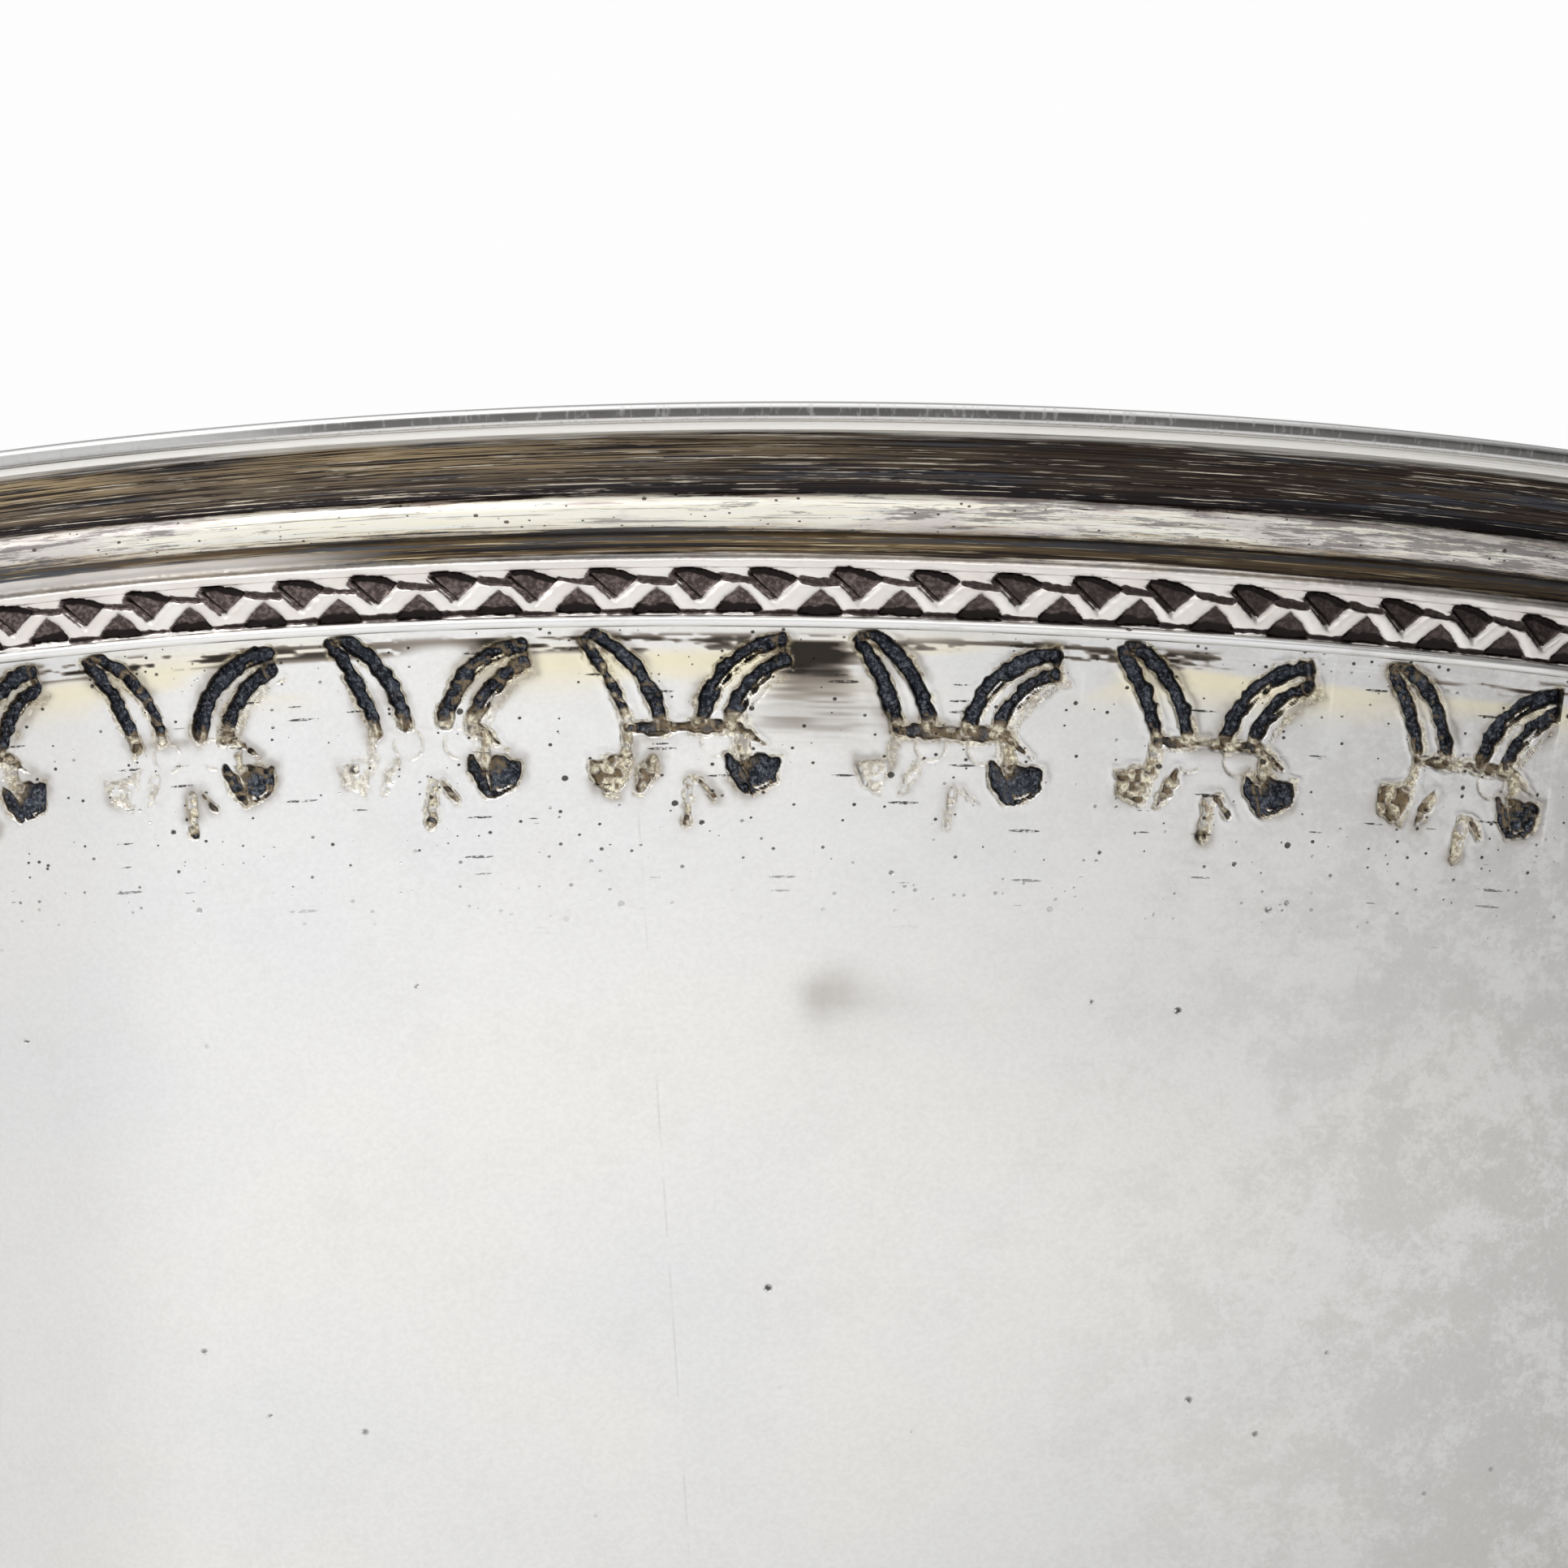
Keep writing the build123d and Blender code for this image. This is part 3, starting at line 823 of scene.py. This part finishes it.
class Paint(Nodes):
    """One node material: coats laid one over another."""

    def __init__(self, name):
        self.material = bpy.data.materials.new(name)
        self.material.use_nodes = True
        super().__init__(self.material.node_tree, "Object")
        self.surface = self.nodes["Principled BSDF"]
        self.along = self.place
        self.colour = (1.0, 1.0, 1.0)

    def follow_ring(self):
        """Measure height by the drop stored on a ring, so that streaks run true along it."""
        height = self.times(self.mask("drop"), MM)
        spot = self.node("CombineXYZ", X=self.axis("X"), Y=self.axis("Y"), Z=height)
        self.along = spot.outputs["Vector"]

    def scaled(self, across, rise, shift):
        """Object coordinates in cells of that many millimetres across and high."""
        scale = (1000 / across, 1000 / across, 1000 / rise)
        place = (shift, shift * 0.7, shift * 1.3)
        return self.node("Mapping", Vector=self.along, Location=place, Scale=scale).outputs["Vector"]

    def cloud(self, across, rise, detail=3.0, rough=0.55, shift=0.0):
        """Soft noise with cells of that size."""
        place = self.scaled(across, rise, shift)
        return self.node("TexNoise", Vector=place, Scale=1.0, Detail=detail, Roughness=rough).outputs["Fac"]

    def spots(self, across, rise, size, share, shift):
        """1 in scattered spots: a share of the cells, each up to size of a cell."""
        cell = self.node("TexVoronoi", Vector=self.scaled(across, rise, shift), Scale=1.0)
        lot = self.node("SeparateColor", Color=cell.outputs["Color"]).outputs["Red"]
        reach = self.times(self.ramp(lot, 1 - share, 1.0), size)
        return self.ramp(self.math("SUBTRACT", reach, cell.outputs["Distance"]), 0.0, 0.05)

    def mix(self, factor, first, second):
        """Colour that runs from first to second with factor."""
        made = self.node("Mix", Factor=factor)
        made.data_type = "RGBA"
        for socket, value in ((made.inputs[6], first), (made.inputs[7], second)):
            self.feed(socket, value if isinstance(value, bpy.types.NodeSocket) else (*value, 1.0))
        return made.outputs[2]

    def coat(self, share, tint, strength=None):
        """Lay a tint over the colour so far, as thick as share and strength say."""
        thickness = share if strength is None else self.times(share, strength)
        self.colour = self.mix(thickness, self.colour, tint)

    def mask(self, name):
        """A value stored at each point of the mesh."""
        made = self.node("Attribute")
        made.attribute_name = name
        return made.outputs["Fac"]

    def bump(self, height, distance, strength=1.0, under=None):
        """Fine relief so many millimetres high, over any relief under it."""
        below = {} if under is None else {"Normal": under}
        made = self.node("Bump", Height=height, Distance=distance * MM, Strength=strength, **below)
        return made.outputs["Normal"]

    def finish(self, roughness, metallic, normal=None):
        """Feed the surface with the colour so far and the rest, and hand back the material."""
        inputs = {"Base Color": self.colour, "Roughness": roughness, "Metallic": metallic}
        if normal is not None:
            inputs["Normal"] = normal
        for name, value in inputs.items():
            self.feed(self.surface.inputs[name], value)
        return self.material


SILVER = (0.905, 0.897, 0.876)
SILVER_COOL = (0.865, 0.865, 0.868)
GREY = (0.655, 0.625, 0.595)
# mid grey, used for painted shade on the wall and for fine scratches on the lip
SHADE_AND_SCRATCH_GREY = (0.45, 0.44, 0.43)
CREAM = (0.88, 0.81, 0.60)
GILT = (0.92, 0.83, 0.57)
SULPHIDE = (0.018, 0.020, 0.026)
BROWN = (0.050, 0.036, 0.027)


def paint_scratch(p):
    """1 along a fine broken scratch that runs down the front of the wall."""
    lean, start, width = 0.069, 0.0041, 0.00009
    slant = p.plus(p.axis("X"), p.times(p.axis("Z"), lean))
    line = p.ramp(p.math("ABSOLUTE", p.plus(slant, start)), width, width / 3)
    front = p.times(p.ramp(p.axis("Y"), 0.0, -0.02), p.ramp(p.axis("Z"), 0.0665, 0.0645))
    return p.times(p.times(line, front), p.ramp(p.cloud(3, 3, 3, 0.6, 19), 0.42, 0.6))


def paint_pits(p):
    """1 in the pits: swarms and dashes near the border, and a few nicks anywhere."""
    band = p.ramp(p.axis("Z"), 0.0580, 0.0650)
    swarm = p.ramp(p.cloud(9, 0.9, 2, 0.5, 14), 0.42, 0.52)
    specks = p.most(p.times(p.spots(0.6, 0.5, 0.22, 0.7, 2), swarm), p.spots(1.6, 1.4, 0.15, 0.6, 4))
    broken = p.ramp(p.cloud(0.35, 0.2, 3, 0.7, 15), 0.42, 0.55)
    dashes = p.times(p.spots(3.6, 0.30, 0.30, 0.22, 5), broken)
    ragged = p.ramp(p.cloud(0.5, 0.3, 2, 0.6, 18), 0.42, 0.48)
    nicks = p.times(p.spots(5.0, 4.0, 0.085, 0.9, 9), ragged)
    return p.most(p.times(p.most(specks, dashes), band), nicks)


def paint_strikes(p):
    """Coats in and round the strikes: stains together with painted shade, cream crumbs, brown rims and
    black floors.
    """
    # The stain mask darkens the wall for real smudges and also as painted shade: the camera's dark
    # reflection, a dark reflection over the dent and a shadow round the strokes.
    p.coat(p.ramp(p.mask("stain_and_shade"), 0.0, 0.5), (0.33, 0.29, 0.25))
    p.coat(p.ramp(p.mask("stain_and_shade"), 0.35, 1.0), (0.040, 0.034, 0.028))
    crumbs = p.ramp(p.cloud(0.30, 0.28, 2, 0.6, 7), 0.40, 0.56)
    p.coat(p.mask("cream"), p.mix(crumbs, CREAM, (0.33, 0.25, 0.13)), 0.85)
    grainy = p.ramp(p.cloud(0.28, 0.25, 4, 0.75, 4), 0.46, 0.66)
    black = p.mix(p.ramp(p.cloud(1.4, 1.2, 3, 0.6, 16), 0.4, 0.7), SULPHIDE, (0.055, 0.062, 0.080))
    umber = p.mix(grainy, (0.22, 0.165, 0.10), (0.055, 0.046, 0.040))
    p.coat(p.ramp(p.mask("dark"), 0.08, 0.45), umber)
    p.coat(p.ramp(p.mask("dark"), 0.45, 0.85), p.mix(grainy, black, (0.17, 0.185, 0.215)))


def paint_wall():
    """Worn silver plate: clouds of tarnish, pits, fine lines, black in the strikes, and painted shade at
    the sides.
    """
    p = Paint("worn_silver_wall")
    p.colour = p.mix(p.ramp(p.cloud(26, 18), 0.35, 0.7), SILVER, SILVER_COOL)
    right = p.ramp(p.axis("X"), 0.005, 0.055)
    low = p.ramp(p.axis("Z"), 0.062, 0.030)
    blotch = p.plus(p.cloud(6.5, 5, 9, 0.84, 3), p.between(p.cloud(0.45, 0.4, 3, 0.7, 12), -0.13, 0.13))
    mottled = p.ramp(p.plus(blotch, p.times(right, p.between(low, 0.08, 0.10))), 0.49, 0.62)
    tarnish = p.times(mottled, p.between(right, 0.08, 0.50))
    p.coat(tarnish, GREY)
    # painted shade: the wall is coloured darker towards the right, and darker still over the upper wall
    # right of the middle
    p.coat(right, SHADE_AND_SCRATCH_GREY, 0.10)
    p.coat(p.times(p.ramp(p.axis("X"), -0.012, 0.024), p.ramp(p.axis("Z"), 0.040, 0.058)), SHADE_AND_SCRATCH_GREY, 0.22)
    p.coat(p.ramp(p.cloud(0.32, 0.28, 3, 0.7, 17), 0.35, 0.65), (0.40, 0.39, 0.38), 0.09)
    p.coat(paint_scratch(p), (0.25, 0.24, 0.23), 0.16)
    # painted shade: darker towards the far left edge of the wall
    p.coat(p.ramp(p.axis("X"), -0.034, -0.046), (0.45, 0.44, 0.44), 0.20)
    p.coat(p.mask("gilt"), GILT, 0.75)
    paint_strikes(p)
    pits = paint_pits(p)
    p.coat(pits, (0.04, 0.035, 0.03), 0.92)
    dull = p.most(p.mask("dark"), p.mask("cream"))
    rough = p.plus(p.between(p.cloud(12, 8, 4, 0.6, 6), 0.27, 0.40), p.times(tarnish, 0.25))
    rough = p.plus(rough, p.times(dull, 0.1))
    metallic = p.math("SUBTRACT", 1.0, p.times(p.mask("cream"), 0.6))
    normal = p.bump(p.cloud(60, 0.35, 2, 0.5, 1), 0.010, 0.6)
    normal = p.bump(p.times(pits, -1.0), 0.10, 1.0, normal)
    normal = p.bump(p.times(dull, p.cloud(0.3, 0.28, 3, 0.6, 8)), 0.20, 1.0, normal)
    return p.finish(rough, metallic, normal)


def paint_lip():
    """Worn bar, grey where it is scratched across and bright towards the left."""
    p = Paint("worn_silver_lip")
    across = p.cloud(0.35, 6, 3, 0.6, 1)
    left = p.ramp(p.plus(p.axis("X"), p.times(p.cloud(5, 5), 0.012)), -0.018, -0.034)
    front = p.ramp(p.axis("Y"), -0.060, -0.100)
    worn = p.times(front, p.math("SUBTRACT", 1.0, left))
    drop = p.mask("drop")
    middle = p.times(p.ramp(drop, -0.90, -0.74), p.ramp(drop, -0.20, -0.34))
    grey = p.times(p.times(worn, middle), p.between(p.cloud(9, 4, 3, 0.6, 5), 0.75, 1.0))
    p.colour = p.mix(left, (0.88, 0.87, 0.86), (0.58, 0.58, 0.575))
    p.coat(p.times(p.ramp(drop, -0.96, -1.06), front), (0.30, 0.30, 0.295))
    p.coat(grey, (0.060, 0.057, 0.054))
    p.coat(p.ramp(across, 0.52, 0.70), p.mix(grey, SHADE_AND_SCRATCH_GREY, (0.60, 0.60, 0.59)), 0.35)
    return p.finish(p.between(across, 0.24, 0.42), 1.0, p.bump(across, 0.02, 0.6))


def paint_cove():
    """Brown tarnish drawn out in streaks, golden in places, black towards its foot."""
    p = Paint("tarnished_cove")
    p.follow_ring()
    streak = p.cloud(22, 0.24, 7, 0.74, 2)
    fine = p.cloud(10, 0.09, 4, 0.65, 3)
    patch = p.cloud(24, 9, 3, 0.5, 4)
    left = p.ramp(p.axis("X"), 0.02, -0.04)
    level = p.plus(p.mask("drop"), p.between(streak, -0.8, 0.8))
    p.colour = p.mix(p.ramp(streak, 0.44, 0.58), BROWN, (0.074, 0.058, 0.047))
    p.coat(left, (0.26, 0.205, 0.145), 0.6)
    golden = p.times(p.ramp(patch, 0.35, 0.6), p.between(left, 0.10, 1.0))
    golden = p.times(golden, p.ramp(fine, 0.42, 0.58))
    golden = p.times(golden, p.ramp(level, 3.0, 2.0))
    p.coat(p.times(golden, p.between(left, 0.45, 1.0)), (0.50, 0.38, 0.22))
    p.coat(p.ramp(p.cloud(16, 0.5, 4, 0.6, 8), 0.52, 0.62), (0.060, 0.068, 0.085), 0.8)
    p.coat(p.ramp(fine, 0.53, 0.45), (0.018, 0.015, 0.015), 0.85)
    p.coat(p.ramp(level, 3.4, 3.9), (0.020, 0.017, 0.018))
    p.coat(p.ramp(p.cloud(7, 0.09, 4, 0.7, 6), 0.60, 0.63), (0.70, 0.63, 0.52), 0.85)
    p.coat(p.ramp(level, 0.95, 0.55), (0.90, 0.88, 0.84))
    return p.finish(p.between(streak, 0.25, 0.5), 1.0, p.bump(streak, 0.04, 0.7, p.bump(fine, 0.02, 0.7)))


def paint_torus():
    """Pale cream film over silver with slate streaks, pits and patches."""
    p = Paint("cream_torus")
    p.follow_ring()
    patch = p.cloud(12, 2.2, 5, 0.65, 2)
    streak = p.cloud(15, 0.30, 6, 0.70, 3)
    fine = p.cloud(8, 0.10, 3, 0.6, 5)
    level = p.plus(p.mask("drop"), p.between(streak, -1.6, 1.6))
    level = p.plus(level, p.between(p.cloud(3.0, 0.5, 4, 0.7, 9), -0.4, 0.4))
    right, left = p.ramp(p.axis("X"), -0.010, 0.040), p.ramp(p.axis("X"), -0.026, -0.042)
    sides = p.most(p.times(right, 0.14), p.times(left, 0.10))
    p.colour = p.mix(p.ramp(fine, 0.4, 0.65), (0.92, 0.88, 0.74), (0.90, 0.89, 0.84))
    p.coat(p.ramp(p.plus(patch, sides), 0.55, 0.66), (0.68, 0.635, 0.615), 0.85)
    p.coat(p.ramp(p.plus(p.cloud(5, 0.35, 6, 0.75, 13), sides), 0.60, 0.66), (0.20, 0.18, 0.18), 0.8)
    p.coat(p.ramp(p.cloud(8, 0.12, 5, 0.7, 7), 0.56, 0.61), (0.17, 0.15, 0.14), 0.7)
    pink = p.times(p.ramp(p.cloud(7, 0.6, 4, 0.6, 11), 0.52, 0.62), p.ramp(level, 4.9, 4.4))
    p.coat(pink, (0.48, 0.36, 0.33), 0.7)
    p.coat(p.ramp(level, 4.32, 4.08), (0.060, 0.042, 0.036))
    slate = p.mix(p.ramp(fine, 0.45, 0.6), (0.045, 0.045, 0.055), (0.20, 0.20, 0.215))
    p.coat(p.ramp(level, 6.3, 6.45), slate, 0.95)
    p.coat(p.times(p.ramp(level, 6.15, 6.3), p.ramp(level, 6.45, 6.3)), (0.55, 0.42, 0.24), 0.7)
    pits = p.most(p.spots(0.9, 0.6, 0.20, 0.2, 6), p.spots(0.45, 0.3, 0.24, 0.25, 8))
    p.coat(pits, (0.06, 0.045, 0.03), 0.9)
    film = p.times(p.ramp(level, 4.3, 4.6), p.ramp(level, 6.4, 6.2))
    metallic = p.math("SUBTRACT", 1.0, p.times(film, 0.45))
    normal = p.bump(p.times(pits, -1.0), 0.06, 1.0, p.bump(streak, 0.04, 0.7))
    return p.finish(p.between(patch, 0.30, 0.5), metallic, normal)


def paint_groove(p, right):
    """Coats of the groove over the zigzag: brown and slate streaks, polished at the left."""
    streak = p.cloud(14, 0.22, 5, 0.65, 3)
    level = p.plus(p.mask("drop"), p.between(streak, -0.7, 0.7))
    slate = p.mix(p.ramp(streak, 0.42, 0.60), (0.026, 0.022, 0.022), (0.19, 0.135, 0.075))
    blue = p.times(p.ramp(level, 7.2, 6.8), p.ramp(streak, 0.56, 0.44))
    slate = p.mix(p.times(blue, 0.9), slate, (0.115, 0.125, 0.145))
    slate = p.mix(p.ramp(p.cloud(8, 0.10, 4, 0.65, 8), 0.585, 0.63), slate, (0.58, 0.48, 0.30))
    slate = p.mix(p.times(right, 0.6), slate, (0.024, 0.019, 0.017))
    left = p.ramp(p.plus(p.axis("X"), p.between(streak, -0.006, 0.006)), -0.022, -0.034)
    polished = p.times(left, p.ramp(level, 6.9, 7.2))
    p.coat(p.times(p.ramp(level, 7.95, 7.7), p.between(polished, 1.0, 0.25)), slate)


def paint_zigzag():
    """Bright edge, brown-black triangles in pinkish silver, and the groove above them."""
    p = Paint("struck_zigzag")
    p.follow_ring()
    right = p.ramp(p.axis("X"), 0.002, 0.022)
    p.colour = p.mix(p.ramp(p.cloud(5, 2), 0.35, 0.7), (0.90, 0.865, 0.83), (0.82, 0.77, 0.73))
    grainy = p.ramp(p.cloud(0.3, 0.26, 3, 0.6, 2), 0.4, 0.7)
    brown = p.mix(grainy, (0.075, 0.058, 0.055), (0.21, 0.165, 0.155))
    # The dark mask holds tarnish in the punches together with painted shade in and round them and in the
    # grooves.
    p.coat(p.ramp(p.mask("dark"), 0.08, 0.42), p.mix(p.times(right, 0.6), brown, (0.036, 0.029, 0.028)))
    p.coat(p.ramp(p.mask("dark"), 0.6, 0.9), (0.022, 0.018, 0.017))
    paint_groove(p, right)
    rough = p.between(p.cloud(1.2, 1.0, 3, 0.6, 5), 0.27, 0.45)
    return p.finish(rough, 1.0, p.bump(p.cloud(0.3, 0.3, 3, 0.6, 6), 0.03, 0.7))


def paint_plate(name, shift, tarnish_share):
    """Plain silver plate for the fillet, foot and base."""
    p = Paint(name)
    p.colour = p.mix(p.ramp(p.cloud(18, 8, 4, 0.6, shift), 0.35, 0.7), SILVER, SILVER_COOL)
    tarnish = p.times(p.ramp(p.cloud(11, 1.5, 5, 0.65, shift + 1), 0.52, 0.66), tarnish_share)
    pits = p.spots(1.2, 0.9, 0.2, 0.2, shift + 2)
    p.coat(tarnish, (0.30, 0.26, 0.21))
    p.coat(pits, (0.06, 0.05, 0.045), 0.8)
    rough = p.plus(p.between(p.cloud(7, 3, 4, 0.6, shift + 3), 0.22, 0.38), p.times(tarnish, 0.2))
    normal = p.bump(p.cloud(40, 0.4, 3, 0.6, shift + 4), 0.012, 0.6)
    return p.finish(rough, 1.0, p.bump(p.times(pits, -1.0), 0.05, 1.0, normal))


def paint_felt(name, deep, light, shift):
    """Wool felt: matted fibres, soft colour clouds, pale lint and a slight sheen."""
    p = Paint(name)
    fibre = p.cloud(0.55, 0.55, 6, 0.85, shift)
    mat = p.cloud(3.5, 3.5, 6, 0.8, shift + 1)
    tone = p.plus(p.ramp(fibre, 0.38, 0.62), p.ramp(mat, 0.40, 0.60))
    p.colour = p.mix(p.times(tone, 0.5), deep, light)
    lint = p.ramp(p.cloud(1.1, 1.1, 5, 0.8, shift + 2), 0.60, 0.68)
    p.coat(lint, p.mix(0.35, light, (0.9, 0.85, 0.85)), 0.35)
    p.surface.inputs["Sheen Weight"].default_value = 0.35
    p.surface.inputs["Sheen Roughness"].default_value = 0.5
    p.surface.inputs["Specular IOR Level"].default_value = 0.15
    return p.finish(1.0, 0.0, p.bump(fibre, 0.45, 1.0, p.bump(mat, 0.20, 0.6)))


def paint_board():
    """Pressed grey-brown board."""
    p = Paint("pressed_board")
    flecks = p.cloud(1.2, 1.2, 5, 0.7, 1)
    p.colour = p.mix(flecks, (0.16, 0.11, 0.07), (0.34, 0.25, 0.17))
    p.coat(p.cloud(30, 0.25, 3, 0.6, 2), (0.45, 0.36, 0.26), 0.4)
    return p.finish(0.85, 0.0, p.bump(flecks, 0.05, 0.6))


# ---- Pieces ----
def mount(piece, body, material):
    """Paint a finished piece and put it on its body."""
    piece.data.materials.append(material)
    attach(piece, body)
    return piece


def fit(piece, node, material, body="plate"):
    """Paint a finished piece and put it in place of a CAD node on its body."""
    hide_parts(node)
    return mount(piece, body, material)


def foot_piece(name, section, node, seed):
    """A ring of the foot."""
    return fit(ring(name, section, WIRE_COLUMNS, seed, on_wall=False, wobble=0.02),
               node, base_plate)


plain_plate = paint_plate("worn_silver_fillet", 2, 0.35)
base_plate = paint_plate("worn_silver_base", 11, 0.32)

fit(make_wall_shell(), "wall", paint_wall())
fit(ring("lip_ring", lip_section(), RIM_COLUMNS, 2), "lip_wire", paint_lip())
fit(ring("cove_ring", cove_section(), RIM_COLUMNS, 3), "cove_band", paint_cove())
fit(ring("torus_ring", torus_section(), RIM_COLUMNS, 4),
    "torus_band", paint_torus())
fit(make_zigzag_strip(), "zigzag_band", paint_zigzag())
fit(ring("fillet_ring", fillet_section(), RIM_COLUMNS, 6),
    "fillet_wire", plain_plate)
fit(make_base_shell(), "base_pan", base_plate)
fit(ring("seam_ring", seam_section(), WIRE_COLUMNS, 7, wobble=0.02),
    "seam_wire", base_plate)
foot_piece("foot_collar", foot_collar_section(), "foot_band", 8)
foot_piece("foot_ring", foot_ring_section(), "foot_wire", 9)

felt_red = paint_felt("burgundy_felt", (0.115, 0.010, 0.022), (0.26, 0.030, 0.055), 1)
felt_pad = fit(make_felt_pad(), "pad_felt", felt_red, "pad")
thread_red = paint_felt("stitch_thread", (0.16, 0.02, 0.03), (0.36, 0.07, 0.09), 4)
mount(make_stitches(), "pad", thread_red)
fit(make_disc("board_disc", "pad_board", 12, 81, 0.04), "pad_board", paint_board(), "pad")
felt_green = paint_felt("green_felt", (0.020, 0.060, 0.032), (0.050, 0.130, 0.070), 7)
base_cloth = make_disc("base_cloth", "base_felt", 40, 82, 0.16)
fit(base_cloth, "base_felt", felt_green)


# ---- Floor, light and camera ----
def stage_floor():
    """Pale level floor that runs a long way behind."""
    mesh = bpy.data.meshes.new("floor")
    size = 6.0
    corners = [(-size, -size, 0), (size, -size, 0), (size, size, 0), (-size, size, 0)]
    mesh.from_pydata(corners, [], [(0, 1, 2, 3)])
    floor = add_object("floor", mesh)
    p = Paint("pale_floor")
    p.colour = p.mix(p.cloud(300, 300), (0.86, 0.86, 0.86), (0.90, 0.90, 0.90))
    floor.data.materials.append(p.finish(0.7, 0.0))


def soft_light(name, place, aim, size, power):
    """A large area light at place, pointing at aim."""
    data = bpy.data.lights.new(name, "AREA")
    data.shape = "RECTANGLE"
    data.size, data.size_y = size
    data.energy = power
    lamp = add_object(name, data)
    lamp.location = place
    toward = np.array(aim, float) - np.array(place, float)
    toward /= np.linalg.norm(toward)
    yaw = math.atan2(toward[0], -toward[1])
    pitch = math.acos(np.clip(-toward[2], -1, 1))
    lamp.rotation_euler = (pitch, 0, yaw + math.pi)


def studio_world():
    """White surround, dimmer to the right of the plate and behind the camera."""
    world = bpy.data.worlds.new("studio")
    bpy.context.scene.world = world
    world.use_nodes = True
    sky = Nodes(world.node_tree, "Generated")
    right = sky.between(sky.ramp(sky.axis("X"), 0.20, 0.75), 1.0, 0.08)
    behind = sky.between(sky.ramp(sky.axis("Y"), -0.2, -0.9), 1.0, 0.7)
    background = sky.nodes["Background"].inputs
    sky.feed(background["Strength"], sky.times(right, behind))
    sky.feed(background["Color"], (0.985, 0.985, 0.985, 1.0))


stage_floor()
studio_world()
soft_light("left_window", (-0.42, -0.50, 0.50), (-0.06, -0.16, 0.0), (0.4, 0.4), 1.25)
soft_light("top_softbox", (0.0, -0.5, 1.2), (0, -0.1, 0.0), (1.0, 1.0), 0.6)
soft_light("near_fill", (0.0, -0.23, 0.13), (0, -0.19, 0.0), (0.30, 0.06), 0.065)

CAMERA_DISTANCE = 0.363
CAMERA_HEIGHT = 0.0075
CAMERA_PITCH = math.radians(13.6)
LENS = 98.5
camera_data = bpy.data.cameras.new("camera")
camera_data.sensor_width = 36
camera_data.lens = LENS
camera_data.clip_start = 0.01
camera = add_object("camera", camera_data)
camera.location = (0.0, -CAMERA_DISTANCE, CAMERA_HEIGHT)
camera.rotation_euler = (math.pi / 2 + CAMERA_PITCH, 0, 0)
bpy.context.scene.camera = camera
bpy.context.scene.view_settings.view_transform = "Standard"
